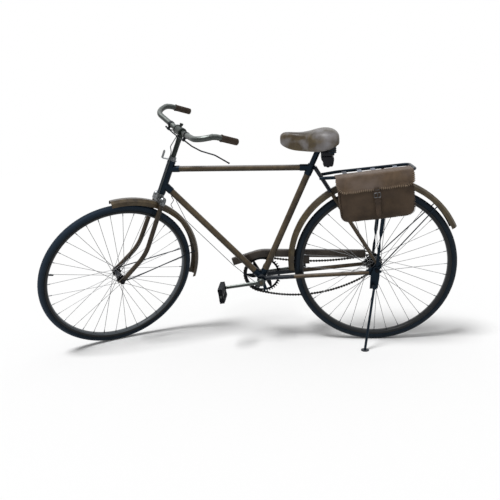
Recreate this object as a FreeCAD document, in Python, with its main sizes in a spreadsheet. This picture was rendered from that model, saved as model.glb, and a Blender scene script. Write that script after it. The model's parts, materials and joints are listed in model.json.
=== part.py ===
"""An old roadster bicycle with a lugged diamond frame, leaning on its side stand.

Every piece is built upright, wheels straight, in the bicycle's own frame: x runs rearwards, y to the
rider's right, z up, with the ground at z = 0 midway between the axles. It then gets the placement of the
parked bicycle: leaning to its left on the stand, the front wheel turned to the left.
"""
import FreeCAD, Part
import math
import os
import Sketcher

Vector = FreeCAD.Vector
Rotation = FreeCAD.Rotation
Placement = FreeCAD.Placement

document = FreeCAD.newDocument("roadster_bicycle")

SIZES = {
    # Stance: how the bicycle stands on its side stand
    "lean_angle": 7.39,
    "steer_angle": 36.54,
    "wheel_base": 1173.4,
    # Steering geometry
    "head_angle": 66.29,
    "fork_rake": 71.7,
    # Wheels
    "tyre_radius": 355.5,
    "tyre_width": 34.0,
    "tyre_crown": 15.0,
    "tyre_seat_width": 23.0,
    "rim_radius": 328.5,
    "rim_width": 30.0,
    "rim_depth": 13.5,
    "rim_well_width": 14.0,
    "spoke_radius": 1.1,
    "spoke_count": 36,
    "spoke_crossing": 4,
    "spoke_splay": 1.4,
    "hub_barrel_radius": 13.0,
    "hub_running_gap": 0.05,
    "front_flange_radius": 20.0,
    "front_flange_offset": 32.0,
    "rear_flange_radius": 24.0,
    "rear_flange_offset": 28.0,
    "flange_width": 3.0,
    "axle_radius": 4.75,
    "axle_gap": 0.1,
    "axle_stub": 8.0,
    "strip_thickness": 3.0,
    "tyre_gap": 0.1,
    "nut_radius": 8.6,
    # Main frame tubes
    "top_tube_radius": 12.7,
    "down_tube_radius": 14.3,
    "seat_tube_radius": 14.3,
    "head_tube_radius": 16.0,
    "head_tube_bore": 14.2,
    "crown_stack": 40.0,
    "head_tube_length": 136.0,
    "top_tube_drop": 30.0,
    "down_tube_rise": 33.0,
    "seat_angle": 64.8,
    "seat_tube_length": 563.0,
    "top_tube_at_seat": 549.0,
    "bracket_x": 82.0,
    "bracket_z": 309.0,
    "lug_wall": 2.0,
    "lug_reach": 46.0,
    "braze_gap": 0.05,
    # Headset
    "steerer_radius": 12.7,
    "steerer_gap": 0.06,
    "cup_height": 11.0,
    "cup_radius": 19.0,
    "bearing_gap": 0.6,
    "locknut_height": 13.4,
    # Bottom bracket and stays
    "shell_radius": 20.0,
    "shell_length": 70.0,
    "shell_bore": 17.0,
    "crank_axle_radius": 8.0,
    "chain_stay_radius": 10.0,
    "chain_stay_front_y": 27.0,
    "seat_stay_radius": 7.5,
    "seat_stay_top_y": 24.5,
    "stay_rear_y": 59.0,
    "dropout_thickness": 5.0,
    # Mudguards
    "guard_radius": 379.0,
    "guard_half_width": 25.5,
    "guard_drop": 25.0,
    "guard_wall": 1.4,
    "rear_guard_x": -3.0,
    "rear_guard_z": 22.0,
    "rear_guard_from": 23.0,
    "rear_guard_to": 185.0,
    "front_guard_x": 20.0,
    "front_guard_z": 2.0,
    "front_guard_from": -19.0,
    "front_guard_to": 92.0,
    "guard_stay_radius": 2.5,
    # Fork, stem and handlebar
    "blade_radius": 10.5,
    "blade_top_y": 40.5,
    "blade_end_y": 53.0,
    "fork_tip_length": 27.0,
    "blade_bend_height": 140.0,
    "blade_bend_radius": 200.0,
    "crown_height": 399.0,
    "crown_thickness": 22.0,
    "crown_radius": 14.0,
    "stem_radius": 11.0,
    "stem_reach": 9.0,
    "stem_rise": 145.0,
    "stem_clamp_radius": 19.0,
    "stem_clamp_half": 33.0,
    "bar_straight_half": 45.0,
    "bar_radius": 12.0,
    "bar_half_width": 238.0,
    "grip_radius": 16.5,
    "grip_length": 88.0,
    "brake_rod_radius": 3.0,
    "pull_rod_radius": 2.0,
    "pull_rod_forward": 21.0,
    "pull_rod_side": -21.0,
    "cable_rod_radius": 1.3,
    # Lamp bracket
    "lamp_reach": 50.0,
    "lamp_rise": 29.0,
    "lamp_plate_width": 16.0,
    "lamp_plate_thickness": 2.5,
    "lamp_hole_radius": 3.2,
    # Drive
    "chain_pitch": 12.7,
    "chainring_teeth": 42,
    "sprocket_teeth": 18,
    "chain_links": 112,
    "chain_line": 43.0,
    "chain_upper_sag_radius": 1150.0,
    "chain_half_height": 4.0,
    "chain_inner_gap": 2.2,
    "chain_plate": 1.5,
    "ring_thickness": 2.2,
    "roller_radius": 3.6,
    "tooth_height": 3.0,
    "gullet_radius": 4.2,
    "ring_rim_inner": 72.0,
    "ring_arm_count": 6,
    "ring_boss_radius": 18.0,
    "trough_inner_y": 31.0,
    "trough_outer_y": 55.0,
    "trough_height": 34.0,
    "trough_wall": 1.2,
    "trough_round": 9.0,
    "crank_length": 170.0,
    "crank_forward_dip": 7.5,
    "crank_y": 66.0,
    "crank_thickness": 12.0,
    "crank_boss_radius": 17.0,
    "crank_eye_radius": 12.0,
    "pedal_axle_radius": 6.0,
    "pedal_width": 92.0,
    "pedal_length": 66.0,
    "pedal_thickness": 26.0,
    "left_pedal_tilt": 84.0,
    "right_pedal_tilt": 12.0,
    # Carrier, bag and saddle
    "rack_rail_radius": 7.0,
    "rack_half_width": 68.0,
    "rack_front_x": 371.0,
    "rack_rear_x": 742.0,
    "rack_height": 765.0,
    "rack_rise": 4.0,
    "rack_strip_width": 18.0,
    "rack_leg_x": 261.0,
    "rack_leg_width": 16.0,
    "bag_behind_front": 195.0,
    "bag_above_rail": 32.0,
    "bag_tilt": 5.0,
    "bag_corner": 29.0,
    "bag_length": 308.0,
    "bag_height": 196.0,
    "bag_depth": 62.0,
    "soft_gap": 0.3,
    "flap_thickness": 4.0,
    "strap_width": 26.0,
    "seat_post_radius": 12.4,
    "post_rise": 66.0,
    "saddle_wall": 9.0,
    "saddle_rail_radius": 3.5,
    "saddle_spring_x": 55.5,
    "saddle_spring_y": 66.0,
    "saddle_spring_radius": 15.0,
    "saddle_pan_rise": 33.5,
    "pouch_length": 56.0,
    "pouch_width": 96.0,
    "pouch_height": 75.0,
    # Side stand
    "stand_foot_ahead": 61.2,
    "stand_pivot_ahead": 14.0,
    "stand_pivot_below": 70.0,
    "stand_foot_y": -157.0,
    "stand_rod_radius": 5.5,
    "stand_pad_radius": 17.0,
    "stand_pad_thickness": 4.0,
    "stand_pivot_y": -94.0,
    "stand_plate_thickness": 5.0,
    "stand_pin_radius": 4.0,
    "stand_side_gap": 0.3,
}


def make_sheet():
    """Write the driving dimensions into the spreadsheet, one named cell each."""
    sheet = document.addObject("Spreadsheet::Sheet", "Sizes")
    for row, (alias, value) in enumerate(SIZES.items(), start=1):
        sheet.set("A%d" % row, alias.replace("_", " "))
        sheet.set("B%d" % row, str(value))
        sheet.setAlias("B%d" % row, alias)
    document.recompute()
    return sheet


sheet = make_sheet()


def value(expression):
    """Number that an expression on the spreadsheet's cells gives."""
    if isinstance(expression, (int, float)):
        return float(expression)
    result = sheet.evalExpression(expression)
    return float(getattr(result, "Value", result))


class Dimensions:
    """The spreadsheet's cells as plain numbers."""

    def __getattr__(self, alias):
        return value("Sizes." + alias)


size = Dimensions()


# Places in the upright bicycle

UP = Vector(0, 0, 1)
REAR = Vector(1, 0, 0)
RIGHT = Vector(0, 1, 0)


def direction(degrees):
    """Unit vector in the bicycle's middle plane, at an angle above the rearward direction."""
    angle = math.radians(degrees)
    return Vector(math.cos(angle), 0, math.sin(angle))


FRONT_AXLE = Vector(-size.wheel_base / 2, 0, size.tyre_radius)
REAR_AXLE = Vector(size.wheel_base / 2, 0, size.tyre_radius)
BRACKET = Vector(size.bracket_x, 0, size.bracket_z)
HEAD_UP = direction(size.head_angle)
HEAD_FORWARD = direction(size.head_angle + 90)
HEAD_FOOT = FRONT_AXLE - HEAD_FORWARD * size.fork_rake
SEAT_UP = direction(size.seat_angle)
SEAT_TOP = BRACKET + SEAT_UP * size.seat_tube_length
SADDLE_AT = SEAT_TOP + SEAT_UP * size.post_rise + UP * 2
HEAD_LOW = size.crown_height + size.crown_stack
HEAD_HIGH = HEAD_LOW + size.head_tube_length
HEADSET_TOP = HEAD_HIGH + size.cup_height + size.bearing_gap
LOCKNUT_FOOT = HEADSET_TOP + size.lamp_plate_thickness + size.soft_gap
LOCKNUT_TOP = LOCKNUT_FOOT + size.locknut_height
TOP_JOINT = HEAD_HIGH - size.top_tube_drop
DOWN_JOINT = HEAD_LOW + size.down_tube_rise


def on_head(height, forward=0.0, side=0.0):
    """Point at a height along the steering axis, measured from abreast of the front axle."""
    return HEAD_FOOT + HEAD_UP * height + HEAD_FORWARD * forward + RIGHT * side


def mirrored(point):
    return Vector(point.x, -point.y, point.z)


# Making pieces

def turned(axis, degrees, centre=Vector(0, 0, 0)):
    """Placement that turns about an axis through a point."""
    return Placement(Vector(0, 0, 0), Rotation(axis, degrees), centre)


def along(start, end):
    """Placement that takes the z axis to the line from start to end."""
    return Placement(start, Rotation(UP, end - start))


def bind(piece, **expressions):
    """Tie a piece's sizes to cells of the spreadsheet."""
    for name, expression in expressions.items():
        if isinstance(expression, str):
            piece.setExpression(name, expression)
        else:
            setattr(piece, name, expression)


def rod(name, start, end, radius):
    """Round bar between two points."""
    piece = document.addObject("Part::Cylinder", name)
    bind(piece, Radius=radius, Height=(end - start).Length)
    piece.Placement = along(start, end)
    return piece


def cone(name, start, end, radius_start, radius_end):
    """Tapered round bar between two points."""
    piece = document.addObject("Part::Cone", name)
    bind(piece, Radius1=radius_start, Radius2=radius_end, Height=(end - start).Length)
    piece.Placement = along(start, end)
    return piece


def ball(name, centre, radius):
    piece = document.addObject("Part::Sphere", name)
    bind(piece, Radius=radius)
    piece.Placement = Placement(centre, Rotation())
    return piece


def block(name, centre, length, width, height, rotation=Rotation()):
    """Box of the given sizes along x, y and z, centred on a point, then turned about it."""
    piece = document.addObject("Part::Box", name)
    bind(piece, Length=length, Width=width, Height=height)
    corner = Vector(value(length) / 2, value(width) / 2, value(height) / 2)
    piece.Placement = Placement(centre - rotation.multVec(corner), rotation)
    return piece


def fuse(name, pieces):
    piece = document.addObject("Part::MultiFuse", name)
    piece.Shapes = pieces
    return piece


def collect(name, pieces):
    """Like pieces that don't touch, kept together."""
    piece = document.addObject("Part::Compound", name)
    piece.Links = pieces
    return piece


def cut(name, base, tools):
    """A piece with other pieces' room taken out of it."""
    piece = document.addObject("Part::Cut", name)
    piece.Base = base
    piece.Tool = tools[0] if len(tools) == 1 else fuse(name + "_tools", tools)
    return piece


def feature(name, shape):
    piece = document.addObject("Part::Feature", name)
    piece.Shape = shape
    return piece


def bent_wire(points, radii):
    """Straight runs through the points, joined by arcs of the given radii."""
    edges = []
    last = points[0]
    for index in range(1, len(points) - 1):
        before = (points[index - 1] - points[index]).normalize()
        after = (points[index + 1] - points[index]).normalize()
        turn = math.pi - before.getAngle(after)
        radius = radii[index - 1] if isinstance(radii, (list, tuple)) else radii
        reach = radius * math.tan(turn / 2)
        start = points[index] + before * reach
        end = points[index] + after * reach
        inward = (before + after).normalize()
        centre = points[index] + inward * (radius / math.cos(turn / 2))
        middle = centre - inward * radius
        if (start - last).Length > 0.01:
            edges.append(Part.LineSegment(last, start).toShape())
        edges.append(Part.Arc(start, middle, end).toShape())
        last = end
    if (points[-1] - last).Length > 0.01:
        edges.append(Part.LineSegment(last, points[-1]).toShape())
    return Part.Wire(edges)


def bent_rod(points, radius, bend_radius, bore=0.0):
    """Round bar or tube along straight runs joined by arcs."""
    path = bent_wire(points, bend_radius)
    heading = points[1] - points[0]

    def swept(section_radius):
        ring = Part.Wire([Part.Circle(points[0], heading, section_radius).toShape()])
        return path.makePipeShell([ring], True, True)

    solid = swept(radius)
    return solid.cut(swept(bore)) if bore else solid


# Sketched pieces

def new_body(name):
    body = document.addObject("PartDesign::Body", name)
    body.Label = name
    return body


def sketch_on(body, role, name, offset=None):
    """Sketch attached to one of the body's own origin planes."""
    sketch = body.newObject("Sketcher::SketchObject", name)
    plane = [item for item in body.Origin.OriginFeatures if item.Role == role][0]
    sketch.AttachmentSupport = [(plane, "")]
    sketch.MapMode = "FlatFace"
    if offset is not None:
        sketch.AttachmentOffset = Placement(Vector(0, 0, value(offset)), Rotation())
        sketch.setExpression("AttachmentOffset.Base.z", str(offset))
    return sketch


def pin_point(sketch, geometry, end, x, y):
    """Fix a point of the sketch at two lengths from its origin."""
    for kind, expression in (("DistanceX", x), ("DistanceY", y)):
        row = sketch.addConstraint(Sketcher.Constraint(kind, -1, 1, geometry, end, value(expression)))
        sketch.setExpression("Constraints[%d]" % row, str(expression))


def arc_between(start, end, radius, side):
    """Arc of a circle from start to end, bulging to the left (1) or right (-1) of that direction."""
    chord = end - start
    half = chord.Length / 2
    across = Vector(-chord.y, chord.x, 0).normalize()
    sagitta = math.sqrt(max(radius * radius - half * half, 0.0))
    centre = (start + end) * 0.5 - across * (side * sagitta)
    angle_start = math.atan2(start.y - centre.y, start.x - centre.x)
    angle_end = math.atan2(end.y - centre.y, end.x - centre.x)
    if side > 0:
        angle_start, angle_end = angle_end, angle_start
    while angle_end < angle_start:
        angle_end += 2 * math.pi
    circle = Part.Circle(centre, Vector(0, 0, 1), radius)
    return Part.ArcOfCircle(circle, angle_start, angle_end)


def outline(sketch, corners):
    """Closed outline. A corner is (x, y), or (x, y, radius, side) where an arc leads to it."""
    places = [Vector(value(corner[0]), value(corner[1]), 0) for corner in corners]
    ends = []
    for index, corner in enumerate(corners):
        start = places[index - 1]
        end = places[index]
        if len(corner) == 2:
            row = sketch.addGeometry(Part.LineSegment(start, end))
            ends.append((row, 1, 2))
        else:
            side = corner[3]
            row = sketch.addGeometry(arc_between(start, end, value(corner[2]), side))
            ends.append((row, 2, 1) if side > 0 else (row, 1, 2))
            rule = sketch.addConstraint(Sketcher.Constraint("Radius", row, value(corner[2])))
            sketch.setExpression("Constraints[%d]" % rule, str(corner[2]))
    for index in range(len(ends)):
        before = ends[index - 1]
        here = ends[index]
        sketch.addConstraint(Sketcher.Constraint("Coincident", before[0], before[2], here[0], here[1]))
    for index, corner in enumerate(corners):
        row, _, end = ends[index]
        pin_point(sketch, row, end, corner[0], corner[1])


def hole(sketch, x, y, radius):
    """Round hole drawn inside an outline."""
    row = sketch.addGeometry(Part.Circle(Vector(value(x), value(y), 0), Vector(0, 0, 1), value(radius)))
    pin_point(sketch, row, 3, x, y)
    rule = sketch.addConstraint(Sketcher.Constraint("Radius", row, value(radius)))
    sketch.setExpression("Constraints[%d]" % rule, str(radius))


def turned_piece(name, corners, sweep=360.0):
    """Body of revolution about the y axis. Corners are (radius, y) expressions."""
    body = new_body(name)
    sketch = sketch_on(body, "XY_Plane", name + "_section")
    outline(sketch, corners)
    spin = body.newObject("PartDesign::Revolution", name + "_turned")
    spin.Profile = sketch
    spin.ReferenceAxis = (sketch, ["V_Axis"])
    bind(spin, Angle=sweep)
    sketch.Visibility = False
    return body


def plate(name, corners, thickness, holes=()):
    """Flat plate in the xz plane, as thick to the left of it as to the right."""
    body = new_body(name)
    sketch = sketch_on(body, "XZ_Plane", name + "_outline")
    outline(sketch, corners)
    for x, y, radius in holes:
        hole(sketch, x, y, radius)
    pad = body.newObject("PartDesign::Pad", name + "_pad")
    pad.Profile = sketch
    pad.Midplane = True
    bind(pad, Length=thickness)
    return body


# Parked stance

def tyre_corners():
    """Tyre section as (radius, y) expressions: bead seat, side walls and crown."""
    seat = "Sizes.tyre_seat_width / 2"
    side = "Sizes.tyre_width / 2"
    crown = "Sizes.tyre_crown / 2"
    base = "Sizes.rim_radius"
    middle = "Sizes.tyre_radius - Sizes.tyre_width / 2"
    top = "Sizes.tyre_radius"
    return [(base, "-" + seat), (middle, "-" + side), (top, "-" + crown),
            (top, crown), (middle, side), (base, seat)]


def depth_below(axle, placement):
    """How far a tyre reaches below the ground plane at a placement."""
    spindle = placement.Rotation.multVec(RIGHT)
    flat = math.sqrt(1 - spindle.z ** 2)
    reach = max(value(r) * flat + value(y) * spindle.z for r, y in tyre_corners())
    return reach - placement.multVec(axle).z


def leaning(pitch, rise):
    lean = Placement(Vector(0, 0, rise), Rotation(REAR, size.lean_angle))
    return lean * Placement(Vector(0, 0, 0), Rotation(RIGHT, pitch))


STEER = turned(HEAD_UP, size.steer_angle, HEAD_FOOT)


def parked():
    """Stance in which both tyres touch the ground, found by closing in on the pitch."""
    low = -3.0
    high = 3.0
    for _ in range(50):
        pitch = (low + high) / 2
        stance = leaning(pitch, 0)
        front = depth_below(FRONT_AXLE, stance * STEER)
        rear = depth_below(REAR_AXLE, stance)
        if front > rear:
            low = pitch
        else:
            high = pitch
    return leaning(pitch, rear)


ON_FRAME = parked()
ON_STEERING = ON_FRAME * STEER
nodes = []


def keep(piece, label, stance):
    """Make a piece one of the bicycle's sub-parts, at its place in the parked bicycle."""
    piece.Label = label
    nodes.append((label, piece, stance))
    return piece


def place(piece, where):
    """Placement of a piece within the upright bicycle."""
    piece.Placement = where
    return piece


def at(point):
    return Placement(point, Rotation())


# Main frame

def head_tube():
    """Head tube with a bearing cup pressed over each end, bored for the steerer."""
    low = on_head(HEAD_LOW)
    high = on_head(HEAD_HIGH)
    step = HEAD_UP * size.cup_height
    tube = rod("head_tube_outside", low, high, "Sizes.head_tube_radius")
    lower_cup = cone("lower_cup", low - step, low, "Sizes.cup_radius - 1", "Sizes.cup_radius")
    upper_cup = cone("upper_cup", high, high + step, "Sizes.cup_radius", "Sizes.cup_radius - 2")
    bearing = rod("cup_bore", low - step, high + step, "Sizes.steerer_radius + Sizes.steerer_gap")
    hollow = rod("head_tube_hollow", low, high, "Sizes.head_tube_bore")
    outside = fuse("head_tube_and_cups", [tube, lower_cup, upper_cup])
    return keep(cut("head_tube", outside, [bearing, hollow]), "head_tube", ON_FRAME)


def main_tubes():
    """Top, down and seat tubes, mitred against the head tube, the seat tube and the bracket shell."""
    top_start = on_head(TOP_JOINT)
    top_end = BRACKET + SEAT_UP * size.top_tube_at_seat
    down_start = on_head(DOWN_JOINT)
    head = rod("head_mitre", on_head(HEAD_LOW), on_head(HEAD_HIGH),
               "Sizes.head_tube_radius + Sizes.braze_gap")
    seat = rod("seat_mitre", BRACKET, SEAT_TOP, "Sizes.seat_tube_radius + Sizes.braze_gap")
    shell = rod("shell_mitre", BRACKET - RIGHT * size.shell_length / 2,
                BRACKET + RIGHT * size.shell_length / 2, "Sizes.shell_radius + Sizes.braze_gap")
    top = rod("top_tube_whole", top_start, top_end, "Sizes.top_tube_radius")
    down = rod("down_tube_whole", down_start, BRACKET, "Sizes.down_tube_radius")
    keep(cut("top_tube", top, [head, seat]), "top_tube", ON_FRAME)
    seat_side = rod("seat_side_mitre", BRACKET, BRACKET + SEAT_UP * 60,
                    "Sizes.seat_tube_radius + Sizes.braze_gap")
    keep(cut("down_tube", down, [head, shell, seat_side]), "down_tube", ON_FRAME)
    post_room = rod("post_room", SEAT_TOP - SEAT_UP * 120, SEAT_TOP, "Sizes.seat_post_radius + Sizes.braze_gap")
    upright = rod("seat_tube_whole", BRACKET, SEAT_TOP, "Sizes.seat_tube_radius")
    keep(cut("seat_tube", upright, [shell, post_room]), "seat_tube", ON_FRAME)


def sleeve(name, start, end, tube_radius):
    """Outside of a lug around a tube, from start to end."""
    return rod(name, start, end, tube_radius + " + Sizes.lug_wall")


def socket_bore(name, start, end, tube_radius):
    return rod(name, start, end, tube_radius + " + Sizes.braze_gap")


def head_lugs():
    """Upper and lower head lugs: a sleeve on the head tube with a socket for the tube behind."""
    reach = size.lug_reach
    lugs = []
    parts = (("upper", TOP_JOINT, HEAD_HIGH, 34.0, "Sizes.top_tube_radius",
              BRACKET + SEAT_UP * size.top_tube_at_seat),
             ("lower", DOWN_JOINT, HEAD_LOW, 36.0, "Sizes.down_tube_radius", BRACKET))
    for name, joint, end, span, tube_radius, far in parts:
        centre = on_head(joint)
        way = (far - centre).normalize()
        inner = joint - math.copysign(span, end - joint)
        collar = sleeve(name + "_collar", on_head(end), on_head(inner), "Sizes.head_tube_radius")
        branch = sleeve(name + "_branch", centre, centre + way * reach, tube_radius)
        bore = socket_bore(name + "_collar_bore", on_head(0.9 * min(end, inner)),
                           on_head(1.1 * max(end, inner)), "Sizes.head_tube_radius")
        socket = socket_bore(name + "_socket", centre, centre + way * 2 * reach, tube_radius)
        lugs.append(cut(name + "_head_lug", fuse(name + "_lug_body", [collar, branch]), [bore, socket]))
    return keep(collect("head_lugs", lugs), "head_lugs", ON_FRAME)


def seat_lug():
    """Seat lug: a sleeve at the top of the seat tube, a socket for the top tube and the clamp's ears."""
    joint = BRACKET + SEAT_UP * size.top_tube_at_seat
    forward = (on_head(TOP_JOINT) - joint).normalize()
    collar = sleeve("seat_collar", joint - SEAT_UP * 34, SEAT_TOP, "Sizes.seat_tube_radius")
    branch = sleeve("seat_branch", joint, joint + forward * size.lug_reach, "Sizes.top_tube_radius")
    clamp_at = SEAT_TOP - SEAT_UP * 9 + direction(size.seat_angle - 90) * (size.seat_tube_radius + 7)
    bolt = rod("seat_bolt", clamp_at - RIGHT * 14, clamp_at + RIGHT * 14, 4.0)
    ears = block("seat_ears", clamp_at - direction(size.seat_angle - 90) * 3, 14.0, 16.0, 16.0,
                 Rotation(RIGHT, 90 - size.seat_angle))
    bore = socket_bore("seat_collar_bore", BRACKET, SEAT_TOP + SEAT_UP * 20, "Sizes.seat_tube_radius")
    socket = socket_bore("seat_socket", joint, joint + forward * 2 * size.lug_reach, "Sizes.top_tube_radius")
    stay_top = seat_stay_ends(0)[1]
    reach = size.seat_stay_top_y - size.seat_stay_radius
    stay_boss = rod("stay_boss", stay_top - RIGHT * reach, stay_top + RIGHT * reach, 7.0)
    whole = fuse("seat_lug_body", [collar, branch, ears, bolt, stay_boss])
    return keep(cut("seat_lug", whole, [bore, socket]), "seat_lug", ON_FRAME)


def bottom_bracket():
    """Bottom bracket shell with sockets for the tubes, and a bearing cup closing each side."""
    half = size.shell_length / 2
    left = BRACKET - RIGHT * half
    right = BRACKET + RIGHT * half
    shell = rod("shell_outside", left, right, "Sizes.shell_radius")
    down_way = (on_head(DOWN_JOINT) - BRACKET).normalize()
    sockets = []
    bores = []
    for name, way, tube_radius in (("seat", SEAT_UP, "Sizes.seat_tube_radius"),
                                   ("down", down_way, "Sizes.down_tube_radius")):
        reach = size.lug_reach
        sockets.append(sleeve(name + "_socket_outside", BRACKET, BRACKET + way * reach, tube_radius))
        bores.append(socket_bore(name + "_socket_bore", BRACKET, BRACKET + way * 2 * reach, tube_radius))
    hollow = rod("shell_hollow", left + RIGHT * 14, right - RIGHT * 14, "Sizes.shell_bore")
    axle_room = rod("shell_bearings", left - RIGHT * 10, right + RIGHT * 10,
                    "Sizes.crank_axle_radius + Sizes.hub_running_gap")
    lockring = rod("lockring", left - RIGHT * 5, left, "Sizes.shell_radius - 1")
    open_sockets = cut("open_sockets", fuse("sockets_outside", sockets), bores)
    whole = fuse("shell_and_sockets", [shell, lockring, open_sockets])
    return keep(cut("bottom_bracket", whole, [hollow, axle_room]), "bottom_bracket", ON_FRAME)


def rear_stays():
    """Chain stays and seat stays, one of each on both sides, slotted at the rear for the fork ends."""
    chain_stays = []
    seat_stays = []
    front = BRACKET + REAR * (size.shell_radius + 1) + UP * 6
    rear = REAR_AXLE + Vector(-32, 0, -14)
    for side in (-1, 1):
        front_end = front + RIGHT * side * size.chain_stay_front_y
        rear_end = rear + RIGHT * side * size.stay_rear_y
        lower = cone("chain_stay_whole", front_end, rear_end,
                     "Sizes.chain_stay_radius", "Sizes.chain_stay_radius - 1.5")
        chain_stays.append(cut("chain_stay", lower, [end_slot(side), shell_room()]))
        lower_end, upper_end = seat_stay_ends(side)
        upper = cone("seat_stay_whole", upper_end, lower_end,
                     "Sizes.seat_stay_radius", "Sizes.seat_stay_radius - 2.2")
        upper.Placement = upper.Placement * turned(UP, 90)
        seat_stays.append(cut("seat_stay", upper, [end_slot(side)]))
    keep(collect("chain_stays", chain_stays), "chain_stays", ON_FRAME)
    keep(collect("seat_stays", seat_stays), "seat_stays", ON_FRAME)


def seat_stay_ends(side):
    """Lower and upper end of one seat stay's centre line."""
    low = REAR_AXLE + Vector(2, side * size.stay_rear_y, 24)
    top = BRACKET + SEAT_UP * (size.top_tube_at_seat - 2) + Vector(20, side * size.seat_stay_top_y, 0)
    return low, top


def end_slot(side):
    """Room of a fork end's plate, which a stay's flattened end straddles."""
    return block("end_slot", REAR_AXLE + RIGHT * side * size.stay_rear_y, 98.0,
                 "Sizes.dropout_thickness + 2 * Sizes.braze_gap", 74.0)


def shell_room():
    half = RIGHT * size.shell_length / 2
    return rod("shell_room", BRACKET - half, BRACKET + half, "Sizes.shell_radius + Sizes.braze_gap")


def rear_dropouts():
    """Rear fork ends: plates with a slot open to the rear, in which the axle is clamped."""
    ends = []
    slot = "Sizes.axle_radius + 0.3"
    for side in (-1, 1):
        end = plate("fork_end", [(-46, -24), (-30, -26), (6, -22), (22, -14), (22, "-(%s)" % slot),
                                 (-1.5, "-(%s)" % slot), (-1.5, slot, slot + " + 0.2", 1), (22, slot), (22, 14),
                                 (16, 34), (0, 36), (-14, 14), (-46, -4)],
                    "Sizes.dropout_thickness")
        ends.append(place(end, at(REAR_AXLE + RIGHT * side * size.stay_rear_y)))
    return ends


def rear_seat(layer):
    """Distance from the middle plane to the centre of a layer held by the rear axle nuts."""
    inner = size.stay_rear_y + size.dropout_thickness / 2
    strips = {"eyelet": 0.5, "leg": 1.5, "nut": 2.0}
    return inner + strips[layer] * (size.strip_thickness + size.axle_gap)


def rear_axle_set():
    """Rear axle through both fork ends, with a nut outside the pieces that it clamps on each side."""
    left_nut = rear_seat("nut") + size.stand_plate_thickness + 2 * size.axle_gap
    right_nut = rear_seat("nut") + size.axle_gap
    left = REAR_AXLE - RIGHT * (left_nut + 9 + 3)
    right = REAR_AXLE + RIGHT * (right_nut + 9 + size.axle_stub)
    pieces = [rod("rear_axle_rod", left, right, "Sizes.axle_radius"),
              nut("rear_nut", REAR_AXLE - RIGHT * left_nut, REAR_AXLE - RIGHT * (left_nut + 9)),
              nut("rear_nut", REAR_AXLE + RIGHT * right_nut, REAR_AXLE + RIGHT * (right_nut + 9))]
    return keep(fuse("rear_axle", pieces), "rear_axle", ON_FRAME)


def nut(name, start, end):
    piece = document.addObject("Part::Prism", name)
    bind(piece, Polygon=6, Circumradius="Sizes.nut_radius", Height=(end - start).Length)
    piece.Placement = along(start, end)
    return piece


# Wheels

def wheel(name, axle, flange_radius, flange_offset, stance):
    """Tyre, rim, tangent spokes and hub of one wheel, each made about its own centre."""
    centre = at(axle)
    tyre = turned_piece(name + "_tyre", tyre_corners())
    keep(place(tyre, centre), name + "_tyre", stance)
    side = "Sizes.rim_width / 2"
    well = "Sizes.rim_well_width / 2"
    seat = "Sizes.rim_radius - Sizes.tyre_gap"
    shoulder = "Sizes.rim_radius - Sizes.rim_depth / 2"
    bottom = "Sizes.rim_radius - Sizes.rim_depth"
    rim = turned_piece(name + "_rim", [(seat, "-" + side), (seat, side), (shoulder, side),
                                       (bottom, well), (bottom, "-" + well), (shoulder, "-" + side)])
    keep(place(rim, centre), name + "_rim", stance)
    bore = "Sizes.axle_radius + Sizes.hub_running_gap"
    outer = "%s + Sizes.flange_width / 2" % flange_offset
    inner = "%s - Sizes.flange_width / 2" % flange_offset
    end = "%s + 8" % flange_offset
    half = [("Sizes.hub_barrel_radius", inner), (flange_radius, inner), (flange_radius, outer),
            ("Sizes.hub_barrel_radius - 3", outer), ("Sizes.hub_barrel_radius - 4", end), (bore, end)]
    other = [(radius, "-(%s)" % y) for radius, y in reversed(half)]
    hub = turned_piece(name + "_hub", half + other)
    keep(place(hub, centre), name + "_hub", stance)
    spokes = [place(spoke, centre * spoke.Placement) for spoke in spoke_set(name, flange_radius, flange_offset)]
    keep(collect(name + "_spokes", spokes), name + "_spokes", stance)


def spoke_set(name, flange_radius, flange_offset):
    """Tangent spokes: every other one to each flange, and on a flange by turns trailing and leading."""
    spokes = []
    count = int(size.spoke_count)
    swing = size.spoke_crossing * 720.0 / count
    hub_radius = value(flange_radius) - 3
    rim_radius = size.rim_radius - size.rim_depth - size.tyre_gap
    for number in range(count):
        side = 1 if number % 2 else -1
        leading = 1 if (number // 2) % 2 else -1
        splay = size.spoke_splay if leading > 0 else 0.05
        beside = (size.flange_width / 2 + size.spoke_radius + splay) * leading
        rim_angle = number * 360.0 / count
        start = direction(rim_angle + leading * swing) * hub_radius
        end = direction(rim_angle) * rim_radius
        start.y = side * (value(flange_offset) + beside)
        end.y = side * 3.0
        spoke = document.addObject("Part::Prism", name + "_spoke")
        bind(spoke, Polygon=6, Circumradius="Sizes.spoke_radius", Height=(end - start).Length)
        spoke.Placement = along(start, end)
        spokes.append(spoke)
    return spokes


def guard_section():
    """Mudguard section as (radius, y): a shallow trough of even wall, crown outwards."""
    outside = []
    inside = []
    for across, down in ((-1, 1), (-0.78, 0.36), (-0.3, 0), (0.3, 0), (0.78, 0.36), (1, 1)):
        outside.append(("Sizes.guard_radius - Sizes.guard_drop * %s" % down,
                        "Sizes.guard_half_width * %s" % across))
        inside.append(("Sizes.guard_radius - Sizes.guard_drop * %s - Sizes.guard_wall * %s"
                       % (down, 1 if down < 1 else 0),
                       "(Sizes.guard_half_width - Sizes.guard_wall) * %s" % across))
    return outside + inside[::-1]


def mudguard(name, centre, first, last, stance):
    """Trough bent round part of a circle, between two angles above the rearward direction."""
    guard = turned_piece(name, guard_section(), "Sizes.%s - Sizes.%s" % (last, first))
    start = Rotation(RIGHT, -value("Sizes." + last))
    place(guard, Placement(centre, start))
    return keep(guard, name, stance)


def guard_lip(centre, angle, side):
    """Point on the mudguard's edge at an angle."""
    lip = direction(angle) * (size.guard_radius - size.guard_drop)
    return centre + lip + RIGHT * side * size.guard_half_width


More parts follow.
